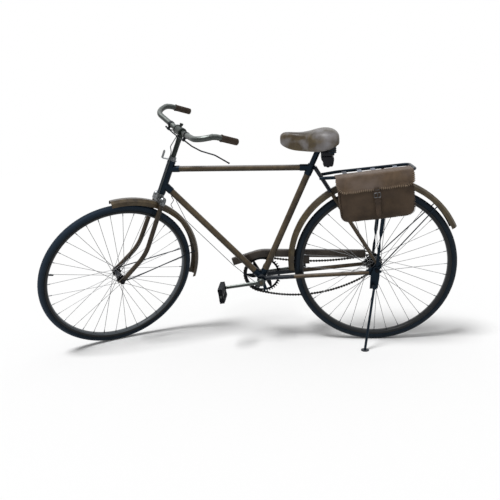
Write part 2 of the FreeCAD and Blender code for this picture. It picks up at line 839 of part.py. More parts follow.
def mudguards():
    """Both mudguards with the wire stays that hold their ends."""
    rear_centre = REAR_AXLE + Vector(size.rear_guard_x, 0, size.rear_guard_z)
    front_centre = FRONT_AXLE + Vector(size.front_guard_x, 0, size.front_guard_z)
    mudguard("rear_mudguard", rear_centre, "rear_guard_from", "rear_guard_to", ON_FRAME)
    mudguard("front_mudguard", front_centre, "front_guard_from", "front_guard_to", ON_STEERING)
    front_eye_y = size.blade_end_y + size.dropout_thickness / 2 + size.axle_gap + size.strip_thickness / 2
    for name, centre, axle, y, angle, stance in (
            ("rear", rear_centre, REAR_AXLE, rear_seat("eyelet"), 43.0, ON_FRAME),
            ("front", front_centre, FRONT_AXLE, front_eye_y, 5.0, ON_STEERING)):
        stays = [guard_stay(name, centre, axle, side * y, angle) for side in (-1, 1)]
        keep(collect(name + "_mudguard_stays", stays), name + "_mudguard_stays", stance)


def guard_stay(name, centre, axle, y, angle):
    """Wire stay: an eye on the axle, a flattened tongue, a bent run, and a clip up to the mudguard's edge."""
    side = math.copysign(1, y)
    eye = axle + RIGHT * y
    inward = direction(angle) * -1
    radius = size.guard_stay_radius
    end = guard_lip(centre, angle, side) + inward * 16 + RIGHT * side * (radius + size.soft_gap)
    half = RIGHT * size.strip_thickness / 2
    beside = RIGHT * side * (radius - size.strip_thickness / 2)
    way = end - eye
    way.y = 0
    way.normalize()
    run = [eye + beside + way * 19, eye + beside + way * 60, end]
    wire = feature(name + "_stay_wire", bent_rod(run, radius, 60.0))
    ring = rod(name + "_stay_eye", eye - half, eye + half, "Sizes.axle_radius + 4")
    clip = rod(name + "_stay_clip", end, end - inward * 18, "Sizes.guard_stay_radius")
    tongue = rod(name + "_stay_tongue", eye, eye + way * 22, "Sizes.strip_thickness / 2 - 0.15")
    room = rod(name + "_eye_room", axle - RIGHT * 90, axle + RIGHT * 90, "Sizes.axle_radius + Sizes.axle_gap")
    return cut(name + "_stay", fuse(name + "_stay_body", [wire, tongue, ring, clip]), [room])


# Steering

def fork():
    """Fork crown with its steerer and domed caps, and the two blades raked forward to the axle."""
    crown_at = size.crown_height
    steerer = rod("steerer", on_head(crown_at), on_head(LOCKNUT_TOP), "Sizes.steerer_radius")
    race = rod("crown_race", on_head(crown_at), on_head(HEAD_LOW - size.cup_height - size.bearing_gap),
               "Sizes.cup_radius - 2")
    locknut = nut("locknut", on_head(LOCKNUT_FOOT), on_head(LOCKNUT_TOP))
    locknut.setExpression("Circumradius", "Sizes.cup_radius - 1")
    bridge = block("crown_bridge", on_head(crown_at), "Sizes.crown_thickness + 6", 2 * size.blade_top_y,
                   "Sizes.crown_thickness", Rotation(RIGHT, 90 - size.head_angle))
    pieces = [steerer, race, locknut, bridge]
    for side in (-1, 1):
        foot = on_head(crown_at - size.crown_thickness / 2, 0, side * size.blade_top_y)
        top = on_head(crown_at + size.crown_thickness / 2, 0, side * size.blade_top_y)
        pieces.append(rod("crown_socket", foot, top, "Sizes.crown_radius"))
        pieces.append(ball("crown_cap", top, "Sizes.crown_radius - 0.5"))
    keep(fuse("fork_crown", pieces), "fork_crown", ON_STEERING)
    blades = []
    for side in (-1, 1):
        blades.append(fork_blade(side))
    keep(collect("fork_blades", blades), "fork_blades", ON_STEERING)


def fork_blade(side):
    top = on_head(size.crown_height - size.crown_thickness / 2 - 0.6, 0, side * size.blade_top_y)
    share = (size.crown_height - size.blade_bend_height) / size.crown_height
    bend_y = size.blade_top_y + (size.blade_end_y - size.blade_top_y) * share
    bend = on_head(size.blade_bend_height, 0, side * bend_y)
    end = FRONT_AXLE + RIGHT * side * size.blade_end_y
    end = end + (bend - end).normalize() * size.fork_tip_length
    blade = feature("fork_blade", bent_rod([top, bend, end], size.blade_radius, size.blade_bend_radius))
    tip = plate("fork_tip", [(-13, -12), (13, -12), (10, 40), (-10, 40)], "Sizes.dropout_thickness",
                [(0, 0, "Sizes.axle_radius + 0.1")])
    way = (bend - end).normalize()
    turn = Rotation(RIGHT, math.degrees(math.atan2(way.x, way.z)))
    place(tip, Placement(FRONT_AXLE + RIGHT * side * size.blade_end_y, turn))
    axle_room = rod("tip_room", FRONT_AXLE - RIGHT * 80, FRONT_AXLE + RIGHT * 80, "Sizes.axle_radius + 0.1")
    return cut("fork_leg", fuse("fork_blade_and_tip", [blade, tip]), [axle_room])


def front_axle_set():
    """Front axle through both fork tips, with a nut outside the mudguard stay's eye on each side."""
    seat_y = size.blade_end_y + size.dropout_thickness / 2 + size.strip_thickness + 2 * size.axle_gap
    outer = RIGHT * (seat_y + 12)
    pieces = [rod("front_axle_rod", FRONT_AXLE - outer, FRONT_AXLE + outer, "Sizes.axle_radius")]
    for side in (-1, 1):
        seat = FRONT_AXLE + RIGHT * side * seat_y
        pieces.append(nut("front_nut", seat, seat + RIGHT * side * 9))
    return keep(fuse("front_axle", pieces), "front_axle", ON_STEERING)


def bar_centre():
    """Middle of the handlebar, in the stem's clamp."""
    return on_head(HEAD_HIGH + size.stem_rise, size.stem_reach)


def bar_points():
    """Centre line of the handlebar from the left grip's end to the right one's."""
    centre = bar_centre()
    half = size.bar_half_width
    side_points = [Vector(-24, half, 34), Vector(48, half, 41), Vector(152, half, -2)]
    right = [centre + point for point in side_points]
    left = [mirrored(point) for point in reversed(right)]
    return left + right


def stem():
    """Quill standing on the steerer, the wide clamp round the handlebar, and its bolt's knob."""
    centre = bar_centre()
    half = RIGHT * size.stem_clamp_half
    quill_top = on_head(HEAD_HIGH + size.stem_rise - 4)
    quill = rod("quill", on_head(LOCKNUT_TOP + size.soft_gap), quill_top, "Sizes.stem_radius")
    neck = cone("stem_neck", quill_top - HEAD_UP * 52, quill_top, "Sizes.stem_radius", "Sizes.stem_radius + 2")
    clamp = rod("bar_clamp", centre - half, centre + half, "Sizes.stem_clamp_radius")
    collars = [rod("clamp_collar", centre + half * end * 0.62, centre + half * end * 0.86,
                   "Sizes.stem_clamp_radius + 1.5") for end in (-1, 1)]
    bolt = centre + RIGHT * 16 - HEAD_FORWARD * 6
    knob = rod("clamp_bolt", bolt, bolt + HEAD_UP * 27, 5.0)
    cap = nut("clamp_knob", bolt + HEAD_UP * 22, bolt + HEAD_UP * 31)
    bar_room = rod("clamp_bore", centre - half * 2, centre + half * 2, "Sizes.bar_radius + Sizes.braze_gap")
    body = fuse("stem_body", [quill, neck, clamp, knob, cap] + collars)
    return keep(cut("stem", body, [bar_room]), "stem", ON_STEERING)


def handlebar():
    """Swept-back handlebar through the stem's clamp, with a grip on each end."""
    centre = bar_centre()
    points = bar_points()
    straight = RIGHT * size.bar_straight_half
    bends = [80.0, 62.0, 90.0, 90.0, 62.0, 80.0]
    bar = bent_rod(points[:3] + [centre - straight, centre + straight] + points[3:], size.bar_radius, bends)
    keep(feature("handlebar", bar), "handlebar", ON_STEERING)
    grips = []
    for front, end in ((points[1], points[0]), (points[4], points[5])):
        way = (end - front).normalize()
        outside = rod("grip_outside", end - way * size.grip_length, end + way * 4, "Sizes.grip_radius")
        inside = rod("grip_bore", end - way * (size.grip_length + 20), end + way * 0.3,
                     "Sizes.bar_radius + Sizes.braze_gap")
        grips.append(cut("grip", outside, [inside]))
    keep(collect("grips", grips), "grips", ON_STEERING)


def bar_place(side, share):
    """Point on the centre line of the handlebar's sloping part, and the way it runs outwards there."""
    inner = bar_centre() + RIGHT * side * size.bar_straight_half
    corner = bar_points()[2 if side < 0 else 3]
    return inner + (corner - inner) * share, (corner - inner).normalize()


def brakes():
    """Rod brake: two levers, the cross rod that carries them in front of the bar, and its clamps."""
    centre = bar_centre()
    radius = size.brake_rod_radius
    cross = [Vector(-22, -99, -8), Vector(-16, -40, -18.5), Vector(-16, 40, -18.5), Vector(-22, 99, -8)]
    rod_line = [centre + point for point in cross]
    crossing = feature("brake_cross_rod", bent_rod(rod_line, radius, 30.0))
    arm_foot = centre + Vector(-16, -6, -18.5)
    arm_tip = centre + Vector(-21.4, -6, -22.8)
    keep(fuse("brake_rods", [crossing, rod("brake_arm", arm_foot, arm_tip, 3.2)]), "brake_rods", ON_STEERING)
    clamps = []
    levers = []
    for side in (-1, 1):
        on_bar, way = bar_place(side, 0.2)
        rod_inner, rod_outer = (rod_line[1], rod_line[0]) if side < 0 else (rod_line[2], rod_line[3])
        on_rod = rod_inner * 0.26 + rod_outer * 0.74
        rod_way = (rod_outer - rod_inner).normalize()
        collar = rod("clamp_collar", on_bar - way * 6, on_bar + way * 6, "Sizes.bar_radius + 2.5")
        eye = rod("clamp_eye", on_rod - rod_way * 6, on_rod + rod_way * 6, "Sizes.brake_rod_radius + 2.5")
        web = block("clamp_web", (on_bar + on_rod) * 0.5, 10.0, 8.0, (on_bar - on_rod).Length,
                    Rotation(UP, on_bar - on_rod))
        bar_room = rod("clamp_bar_room", on_bar - way * 12, on_bar + way * 12,
                       "Sizes.bar_radius + Sizes.braze_gap")
        rod_room = rod("clamp_rod_room", on_rod - rod_way * 12, on_rod + rod_way * 12,
                       "Sizes.brake_rod_radius + Sizes.axle_gap")
        clamps.append(cut("brake_clamp", fuse("brake_clamp_body", [collar, eye, web]), [bar_room, rod_room]))
        places = [(-22.4, 103.2, -7.2), (2, 120, -31), (28, 150, -46.5), (68, 200, -55.5), (111, 240, -85)]
        line = [centre + Vector(x, side * y, z) for x, y, z in places]
        lever = feature("lever_bar", bent_rod(line, radius, [9.0, 14.0, 40.0, 40.0][:len(line) - 2]))
        levers.append(fuse("brake_lever", [lever, ball("lever_end", line[-1], radius + 1),
                                           ball("lever_root", line[0], radius + 1)]))
    keep(collect("brake_clamps", clamps), "brake_clamps", ON_STEERING)
    keep(collect("brake_levers", levers), "brake_levers", ON_STEERING)
    forward = size.pull_rod_forward
    side_y = size.pull_rod_side
    at_crown = size.crown_thickness / 2 + 3 + size.pull_rod_radius + size.soft_gap
    pull = [centre + Vector(-22.2, -6, -23.5), centre + Vector(-51, -8, -58.5),
            centre + Vector(-50, -10, -81.5), on_head(HEAD_HIGH + 12, forward, side_y),
            on_head(HEAD_LOW, forward, side_y), on_head(size.crown_height - 1, at_crown, side_y)]
    wire = bent_rod(pull, size.pull_rod_radius, [9.0, 9.0, 25.0, 20.0])
    keep(feature("front_brake_rod", wire), "front_brake_rod", ON_STEERING)


def lamp_hole():
    """Middle of the lamp's bolt hole, and the way its bolt goes."""
    forward = size.lamp_reach - size.lamp_plate_thickness / 2
    return on_head(HEADSET_TOP + size.lamp_rise, forward), HEAD_FORWARD


def lamp_bracket():
    """Lamp bracket: a ring held by the locknut, a strip forward, and a plate up with a round head."""
    thick = size.lamp_plate_thickness
    tilt = Rotation(RIGHT, 90 - size.head_angle)
    base = on_head(HEADSET_TOP)
    ring = rod("lamp_ring", base, base + HEAD_UP * thick, "Sizes.cup_radius + 2")
    inner = size.cup_radius - 4
    strip = block("lamp_strip", on_head(HEADSET_TOP + thick / 2, (inner + size.lamp_reach) / 2),
                  size.lamp_reach - inner, "Sizes.lamp_plate_width", "Sizes.lamp_plate_thickness", tilt)
    hole_at, way = lamp_hole()
    upright = block("lamp_plate", hole_at - HEAD_UP * size.lamp_rise / 2, "Sizes.lamp_plate_thickness",
                    "Sizes.lamp_plate_width", "Sizes.lamp_rise", tilt)
    half = way * thick / 2
    head = rod("lamp_plate_head", hole_at - half, hole_at + half, "Sizes.lamp_plate_width / 2")
    bolt_room = rod("lamp_bolt_hole", hole_at - half * 4, hole_at + half * 4, "Sizes.lamp_hole_radius")
    steerer_room = rod("lamp_ring_bore", on_head(HEADSET_TOP - 9), on_head(HEADSET_TOP + 9),
                       "Sizes.steerer_radius + Sizes.braze_gap")
    body = fuse("lamp_bracket_body", [ring, strip, upright, head])
    return keep(cut("lamp_bracket", body, [bolt_room, steerer_room]), "lamp_bracket", ON_STEERING)


def down_tube_below(share, gap):
    """Point below the down tube, at a share of its length from the bracket, a gap under its surface."""
    joint = on_head(DOWN_JOINT)
    way = (joint - BRACKET).normalize()
    below = Vector(way.z, 0, -way.x) * -1
    if below.z > 0:
        below = below * -1
    return BRACKET + (joint - BRACKET) * share + below * (size.down_tube_radius + gap)


def frame_fittings():
    """Steering stop spring under the lower lug, and the rear brake's rod with its tab at the bracket."""
    top = down_tube_below(0.9, 3.2)
    clip = rod("spring_clip", down_tube_below(0.9, 0.3), top, 3.5)
    bends = [top + Vector(x, y, z) for x, y, z in ((0, 0, 0), (9, -2, -18), (-6, -2, -37), (1, -2, -54))]
    link = feature("steering_spring_wire", bent_rod(bends, 1.6, [5.0, 5.0]))
    keep(fuse("steering_spring", [clip, link]), "steering_spring", ON_FRAME)
    start = down_tube_below(0.855, 1.1) + RIGHT * -4
    middle = [down_tube_below(share, 33.0) + RIGHT * -15 for share in (0.70, 0.22)]
    end = BRACKET + Vector(-28, -15, -20)
    wire = bent_rod([start] + middle + [end], size.cable_rod_radius, [30.0, 60.0])
    keep(feature("rear_brake_rod", wire), "rear_brake_rod", ON_FRAME)
    low = BRACKET + Vector(20, -25, -size.shell_radius - 42)
    high = BRACKET + Vector(8, -25, -size.shell_radius + 3)
    strip = block("tab_strip", (low + high) * 0.5, 15.0, 4.0, (high - low).Length, Rotation(UP, high - low))
    fork_room = block("tab_fork", low + (high - low) * 0.16, 6.0, 9.0, 24.0, Rotation(UP, high - low))
    keep(cut("bracket_tab", strip, [fork_room, shell_room()]), "bracket_tab", ON_FRAME)


# Drive

def chain_circles():
    """Centres and radii of the pitch circles, and of the slack runs above and below."""
    ring = (BRACKET, size.chain_pitch / 2 / math.sin(math.pi / size.chainring_teeth))
    sprocket = (REAR_AXLE, size.chain_pitch / 2 / math.sin(math.pi / size.sprocket_teeth))
    return ring, sprocket


def meeting(first, first_radius, second, second_radius, upper):
    """Where two circles in the middle plane cross: the crossing above or below."""
    gap = second - first
    length = gap.Length
    along_line = (first_radius ** 2 - second_radius ** 2 + length ** 2) / (2 * length)
    height = math.sqrt(first_radius ** 2 - along_line ** 2)
    way = gap * (1 / length)
    across = Vector(-way.z, 0, way.x) * (1 if upper else -1)
    return first + way * along_line + across * height


def chain_loop(lower_radius):
    """Centre line of the chain: round the ring, the slack lower run, the sprocket, the slack upper run."""
    (ring, ring_radius), (sprocket, sprocket_radius) = chain_circles()
    upper_radius = size.chain_upper_sag_radius
    above = meeting(ring, ring_radius + upper_radius, sprocket, sprocket_radius + upper_radius, True)
    below = meeting(ring, lower_radius - ring_radius, sprocket, lower_radius - sprocket_radius, True)
    ring_top = ring + (above - ring).normalize() * ring_radius
    sprocket_top = sprocket + (above - sprocket).normalize() * sprocket_radius
    ring_low = ring + (ring - below).normalize() * ring_radius
    sprocket_low = sprocket + (sprocket - below).normalize() * sprocket_radius
    ring_front = ring - REAR * ring_radius
    sprocket_back = sprocket + REAR * sprocket_radius
    upper_middle = above - ((ring_top + sprocket_top) * 0.5 - above).normalize() * -upper_radius
    lower_middle = below + ((ring_low + sprocket_low) * 0.5 - below).normalize() * lower_radius
    return [(ring_top, ring_front, ring_low), (ring_low, lower_middle, sprocket_low),
            (sprocket_low, sprocket_back, sprocket_top), (sprocket_top, upper_middle, ring_top)]


def loop_wire(loop):
    return Part.Wire([Part.Arc(*points).toShape() for points in loop])


def slack_radius():
    """Radius of the lower run that gives the loop its whole number of links."""
    wanted = size.chain_links * size.chain_pitch
    low = 400.0
    high = 4000.0
    for _ in range(60):
        middle = (low + high) / 2
        if loop_wire(chain_loop(middle)).Length > wanted:
            low = middle
        else:
            high = middle
    return middle


def chain():
    """The chain: its two rows of plates, straddling the teeth."""
    wire = loop_wire(chain_loop(slack_radius()))
    outer = Part.Face(wire.makeOffset2D(size.chain_half_height))
    inner = Part.Face(wire.makeOffset2D(-size.chain_half_height))
    band = outer.cut(inner)
    rows = []
    for side in (-1, 1):
        near = size.chain_line + side * size.chain_inner_gap - (size.chain_plate if side < 0 else 0)
        row = band.copy()
        row.translate(RIGHT * near)
        rows.append(row.extrude(RIGHT * size.chain_plate))
    solid = rows[0].fuse([rows[1]] + chain_pins())
    return keep(feature("chain", solid), "chain", ON_FRAME)


def chain_pins():
    """Rollers between the plates: along both runs, and seated in some gullets of the sprocket."""
    reach = size.chain_inner_gap + size.chain_plate / 2
    loop = chain_loop(slack_radius())
    pins = []
    for run in (loop[1], loop[3]):
        wire = loop_wire([run])
        count = int(wire.Length / size.chain_pitch / 3)
        for place_on in wire.discretize(Number=count)[1:-1]:
            start = place_on + RIGHT * (size.chain_line - reach)
            pins.append(roller(start, reach))
    centre, pitch_radius = chain_circles()[1]
    seat_radius = pitch_radius - size.soft_gap
    for gullet in (-2, 0, 2):
        angle = (gullet + 0.5) * 360.0 / size.sprocket_teeth
        pins.append(roller(centre + direction(angle) * seat_radius + RIGHT * (size.chain_line - reach), reach))
    return pins


def roller(start, reach):
    """One roller across the chain, from a point in its inner plates."""
    corners = [start + direction(60 * corner) * size.roller_radius for corner in range(7)]
    return Part.Face(Part.makePolygon(corners)).extrude(RIGHT * 2 * reach)


def toothed_disc(name, centre, teeth, pitch_radius):
    """Disc with a round gullet between its teeth for every roller of the chain."""
    half = RIGHT * size.ring_thickness / 2
    disc = rod(name + "_disc", centre - half, centre + half, pitch_radius + size.tooth_height)
    gullets = []
    for number in range(int(teeth)):
        seat = centre + direction((number + 0.5) * 360.0 / teeth) * pitch_radius
        gullets.append(rod(name + "_gullet", seat - half * 3, seat + half * 3, "Sizes.gullet_radius"))
    return disc, collect(name + "_gullets", gullets)


def chainring():
    """Chainring: toothed rim, thin swirling arms, and the round boss on the crank axle."""
    ring, ring_radius = chain_circles()[0]
    centre = ring + RIGHT * size.chain_line
    reach = RIGHT * 9
    disc, gullets = toothed_disc("ring", centre, size.chainring_teeth, ring_radius)
    window = rod("ring_window", centre - reach, centre + reach, "Sizes.ring_rim_inner")
    rim = cut("ring_rim", cut("ring_annulus", disc, [window]), [gullets])
    arms = []
    outer = size.ring_rim_inner + 2
    for number in range(int(size.ring_arm_count)):
        arm = plate("ring_arm", [(10, -3), (10, 3), (outer, 3, 44.0, 1), (outer, -3)], "Sizes.ring_thickness")
        angle = number * 360.0 / size.ring_arm_count
        arms.append(place(arm, Placement(centre, Rotation(RIGHT, angle))))
    boss = rod("ring_boss", centre - RIGHT * 4, centre + RIGHT * 8, "Sizes.ring_boss_radius")
    axle_room = rod("ring_bore", centre - reach * 2, centre + reach * 2,
                    "Sizes.crank_axle_radius + Sizes.braze_gap")
    return keep(cut("chainring", fuse("ring_body", [rim, boss] + arms), [axle_room]), "chainring", ON_FRAME)


def sprocket():
    """Toothed sprocket with its boss, held beside the wheel."""
    radius = chain_circles()[1][1]
    centre = REAR_AXLE + RIGHT * size.chain_line
    disc, gullets = toothed_disc("sprocket", centre, size.sprocket_teeth, radius)
    toothed = cut("sprocket_teeth", disc, [gullets])
    room = rod("sprocket_bore", centre - RIGHT * 20, centre + RIGHT * 20, "Sizes.axle_radius + 0.1")
    boss = rod("sprocket_boss", centre - RIGHT * 5, centre + RIGHT * 8, 16.0)
    return keep(cut("rear_sprocket", fuse("sprocket_body", [toothed, boss]), [room]), "rear_sprocket", ON_FRAME)


def cranks():
    """Crank axle, the two cranks opposite each other, and a pedal on each."""
    half = size.crank_y + size.crank_thickness / 2
    axle = rod("crank_axle", BRACKET - RIGHT * half, BRACKET + RIGHT * half, "Sizes.crank_axle_radius")
    keep(axle, "crank_axle", ON_FRAME)
    forward = 180 + size.crank_forward_dip
    for name, side, angle in (("left", -1, forward), ("right", 1, forward - 180)):
        centre = BRACKET + RIGHT * side * size.crank_y
        way = direction(angle)
        eye = centre + way * size.crank_length
        across = RIGHT * size.crank_thickness / 2
        arm = plate(name + "_crank_arm", [(0, -13), (size.crank_length, -8), (size.crank_length, 8), (0, 13)],
                    "Sizes.crank_thickness")
        place(arm, Placement(centre, Rotation(RIGHT, -angle)))
        boss = rod(name + "_crank_boss", centre - across, centre + across, "Sizes.crank_boss_radius")
        head = rod(name + "_crank_eye", eye - across, eye + across, "Sizes.crank_eye_radius")
        start = eye + RIGHT * side * (size.crank_thickness / 2 - 1)
        spindle = rod(name + "_pedal_axle", start, start + RIGHT * side * (size.pedal_width + 8),
                      "Sizes.pedal_axle_radius")
        room = rod(name + "_crank_bore", centre - across * 2, centre + across * 2,
                   "Sizes.crank_axle_radius + Sizes.braze_gap")
        keep(cut(name + "_crank", fuse(name + "_crank_body", [arm, boss, head, spindle]), [room]),
             name + "_crank", ON_FRAME)
        tilt = size.left_pedal_tilt if side < 0 else size.right_pedal_tilt
        pedal(name, start + RIGHT * side * (3 + size.pedal_width / 2), tilt)


def pedal(name, centre, tilt):
    """Pedal: a tube running on its axle, two end plates, and a rubber block in front and behind."""
    half = RIGHT * size.pedal_width / 2
    turn = Rotation(RIGHT, tilt)
    tube = rod(name + "_pedal_tube", centre - half, centre + half, "Sizes.pedal_axle_radius + 3.5")
    parts = [tube]
    for side in (-1, 1):
        where = centre + RIGHT * side * (size.pedal_width / 2 - 1.5)
        parts.append(block(name + "_pedal_plate", where, "Sizes.pedal_length", 3.0,
                           "Sizes.pedal_thickness - 6", turn))
    room = rod(name + "_pedal_bore", centre - half * 2, centre + half * 2,
               "Sizes.pedal_axle_radius + Sizes.hub_running_gap")
    keep(cut(name + "_pedal", fuse(name + "_pedal_cage", parts), [room]), name + "_pedal", ON_FRAME)
    rubbers = []
    for end in (-1, 1):
        offset = turn.multVec(REAR * end * (size.pedal_length / 2 - 11))
        rubbers.append(block(name + "_pedal_rubber", centre + offset, 22.0, "Sizes.pedal_width - 6.4",
                             "Sizes.pedal_thickness", turn))
    keep(collect(name + "_pedal_rubbers", rubbers), name + "_pedal_rubbers", ON_FRAME)


def trough_section(start, way):
    """Closed section of the chain guard: an upturned U with round shoulders, open below."""
    up = Vector(-way.z, 0, way.x)
    up = up if up.z > 0 else up * -1
    half = size.trough_height / 2
    wall = size.trough_wall

    def run(left, right, top, radius):
        corners = [(left, -half), (left, top), (right, top), (right, -half)]
        return bent_wire([start + RIGHT * y + up * z for y, z in corners], radius)

    outside = run(size.trough_inner_y, size.trough_outer_y, half, size.trough_round)
    inside = run(size.trough_inner_y + wall, size.trough_outer_y - wall, half - wall, size.trough_round - wall)
    ends = [Part.makeLine(outside.Vertexes[end].Point, inside.Vertexes[end].Point) for end in (0, -1)]
    return Part.Wire(Part.__sortEdges__(outside.Edges + inside.Edges + ends))


def swept_trough(rear, bend, front, bend_radius):
    """The trough's section along two straight runs with an arc between them."""
    first, arc, last = bent_wire([rear, bend, front], bend_radius).Edges
    centre = arc.Curve.Center
    turn = -math.degrees(arc.Length / bend_radius)
    section = Part.Face(trough_section(rear, (bend - rear).normalize()))
    forward = first.Vertexes[-1].Point - rear
    at_bend = section.copy()
    at_bend.translate(forward)
    past_bend = at_bend.copy()
    past_bend.rotate(centre, RIGHT, turn)
    pieces = [section.extrude(forward), at_bend.revolve(centre, RIGHT, turn),
              past_bend.extrude((front - bend).normalize() * last.Length)]
    return pieces[0].fuse(pieces[1:])


def chain_guard():
    """Chain guard: a trough over the chain's upper run, bent down in front, with its arms to the frame."""
    rear = Vector(REAR_AXLE.x - 35, 0, REAR_AXLE.z + 41)
    bend = BRACKET + Vector(-2, 0, 105)
    front = BRACKET + Vector(-134, 0, 65.5)
    trough = feature("guard_trough", swept_trough(rear, bend, front, 150.0))
    tube_at = BRACKET + (on_head(DOWN_JOINT) - BRACKET) * 0.185
    front_arm = rod("guard_front_arm", tube_at + RIGHT * (size.down_tube_radius + 0.2),
                    tube_at + RIGHT * (size.trough_inner_y + 0.8), 4.0)
    stay_low, stay_top = seat_stay_ends(1)
    stay_at = stay_low + (stay_top - stay_low) * 0.05
    start = Vector(rear.x - 16, size.trough_outer_y - 0.6, stay_at.z + 1)
    way = (stay_at - start).normalize()
    rear_arm = rod("guard_rear_arm", start, stay_at - way * (size.seat_stay_radius + 1.0), 3.0)
    hanger = block("guard_hanger", Vector(REAR_AXLE.x - 300, size.trough_inner_y - 1, 376), 28.0, 3.2, 34.0)
    return keep(fuse("chain_guard", [trough, front_arm, rear_arm, hanger]), "chain_guard", ON_FRAME)


# Carrier, bag, saddle

STRIP_SHARES = (0.243, 0.418, 0.574, 0.825)


def rail_point(behind, y, rise=0.0):
    """Point at the carrier rails' height, at a distance behind the carrier's front."""
    slope = math.tan(math.radians(size.rack_rise))
    return Vector(size.rack_front_x + behind, y, size.rack_height + behind * slope + rise)


def rack():
    """Carrier: one bent rail, strips across it, and a flat leg down to each end of the rear axle."""
    length = size.rack_rear_x - size.rack_front_x
    half = size.rack_half_width
    low, top = seat_stay_ends(1)
    clamp_at = low + (top - low) * ((size.rack_height - low.z) / (top.z - low.z))
    clamp_y = clamp_at.y + size.seat_stay_radius + size.rack_rail_radius + size.soft_gap
    front = rail_point(clamp_at.x - 6 - size.rack_front_x, clamp_y)
    points = [mirrored(front), rail_point(60, -half), rail_point(length, -half),
              rail_point(length, half), rail_point(60, half), front]
    rail = feature("rack_frame", bent_rod(points, size.rack_rail_radius, [60.0, 26.0, 26.0, 60.0]))
    keep(rail, "rack_frame", ON_FRAME)
    strips = []
    width = 2 * (half - size.rack_rail_radius - size.soft_gap)
    for share in STRIP_SHARES:
        strips.append(block("rack_strip", rail_point(length * share, 0), "Sizes.rack_strip_width", width,
                            "Sizes.strip_thickness", Rotation(RIGHT, -size.rack_rise)))
    keep(collect("rack_strips", strips), "rack_strips", ON_FRAME)
    legs = []
    for side, twist_at in ((-1, 134.0), (1, 112.0)):
        top = rail_point(size.rack_leg_x, side * half, -(size.rack_rail_radius + 1.3))
        axle = REAR_AXLE + RIGHT * side * rear_seat("leg")
        legs.append(rack_leg(top, axle, twist_at))
    keep(collect("rack_legs", legs), "rack_legs", ON_FRAME)


def rack_leg(top, axle, twist_at):
    """Flat leg from the carrier's rail down past the axle that holds it, narrow where it is twisted."""
    way = (top - axle).normalize()
    length = (top - axle).Length
    half = size.rack_leg_width / 2
    side = [(half - 2, -10), (half - 2, twist_at - 34), (2.2, twist_at - 7), (2.2, twist_at + 7),
            (half, twist_at + 34), (half, length)]
    corners = side + [(-x, z) for x, z in reversed(side)]
    strip = plate("rack_leg_strip", corners, "Sizes.strip_thickness")
    place(strip, Placement(axle, Rotation(UP, way)))
    room = rod("rack_leg_hole", axle - RIGHT * 9, axle + RIGHT * 9, "Sizes.axle_radius + Sizes.axle_gap")
    return cut("rack_leg", strip, [room])


def pannier():
    """Leather bag hung on the carrier's left side: body, flap over its front, and closing strap."""
    depth = size.bag_depth
    thick = size.flap_thickness
    half = size.bag_length / 2
    foot = half - 7
    corner = "Sizes.bag_corner"
    tilt = Rotation(RIGHT, -size.bag_tilt)
    inner = -(size.rack_half_width + size.rack_rail_radius + size.soft_gap)
    body = plate("pannier_body", [(-half, 0), (-foot, "-(Sizes.bag_height - Sizes.bag_corner)"),
                                  (size.bag_corner - foot, "-Sizes.bag_height", corner, -1),
                                  (foot - size.bag_corner, "-Sizes.bag_height"),
                                  (foot, "-(Sizes.bag_height - Sizes.bag_corner)", corner, -1), (half, 0)],
                 "Sizes.bag_depth")
    where = rail_point(size.bag_behind_front, inner - depth / 2, size.bag_above_rail - 13.6)
    place(body, Placement(where, tilt))
    keep(body, "pannier_body", ON_FRAME)
    wide = half + 4
    top_z = size.soft_gap + thick
    skirt = plate("flap_front", [(-wide, top_z), (-wide, -34), (-wide + 32, -76, 34.0, -1), (wide - 12, -71),
                                 (wide, -49, 16.0, -1), (wide, top_z)], "Sizes.flap_thickness")
    front = tilt.multVec(Vector(0, -(depth + thick) / 2 - size.soft_gap, 0))
    place(skirt, Placement(where + front, tilt))
    top = block("flap_top", where + tilt.multVec(Vector(0, -top_z / 2, size.soft_gap + thick / 2)), 2 * wide,
                depth + top_z, "Sizes.flap_thickness", tilt)
    keep(fuse("pannier_flap", [skirt, top]), "pannier_flap", ON_FRAME)
    strap_at = where + tilt.multVec(Vector(10, -depth / 2 - 2 * size.soft_gap - thick - 1.7, -117))
    strap = block("strap", strap_at, "Sizes.strap_width", 3.4, 122.0, tilt)
    keep(strap, "pannier_strap", ON_FRAME)


def saddle_section(x, half_width, top, depth):
    """Closed section of the saddle across x: a crowned, padded top on a flat base."""
    shoulder = top - min(18.0, depth * 0.42)
    left = Vector(x, -half_width, top - depth)
    crown = Vector(x, 0, top)
    right = Vector(x, half_width, top - depth)
    shoulder_left = Vector(x, -half_width * 0.88, shoulder)
    shoulder_right = Vector(x, half_width * 0.88, shoulder)
    arc = Part.Arc(shoulder_left, crown, shoulder_right).toShape()
    return Part.Wire([Part.LineSegment(left, shoulder_left).toShape(), arc,
                      Part.LineSegment(shoulder_right, right).toShape(),
                      Part.LineSegment(right, left).toShape()])


# Distance behind the clamp, half width, top above the clamp, and depth of the side
SADDLE_ROWS = ((-158, 16, 64, 20), (-152, 21, 74, 40), (-142, 24, 82, 57), (-110, 27, 79, 70),
               (-69, 42, 75, 69), (-25, 78, 81, 76), (10, 102, 92, 85), (45, 107, 91, 75),
               (71, 103, 81, 52), (89, 84, 64, 24))


def saddle_hollow():
    """Room under the saddle's padded cover, up to the steel pan that its springs carry."""
    wall = size.saddle_wall
    inside = []
    for x, half_width, _, _ in SADDLE_ROWS[2:-1]:
        reach = half_width - wall
        first = x + 4 if x < -140 else x
        corners = [SADDLE_AT + Vector(first, y, z) for y, z in
                   ((-reach, -40), (-reach, size.saddle_pan_rise), (reach, size.saddle_pan_rise), (reach, -40))]
        inside.append(Part.makePolygon(corners + corners[:1]))
    return Part.makeLoft(inside, True, True)


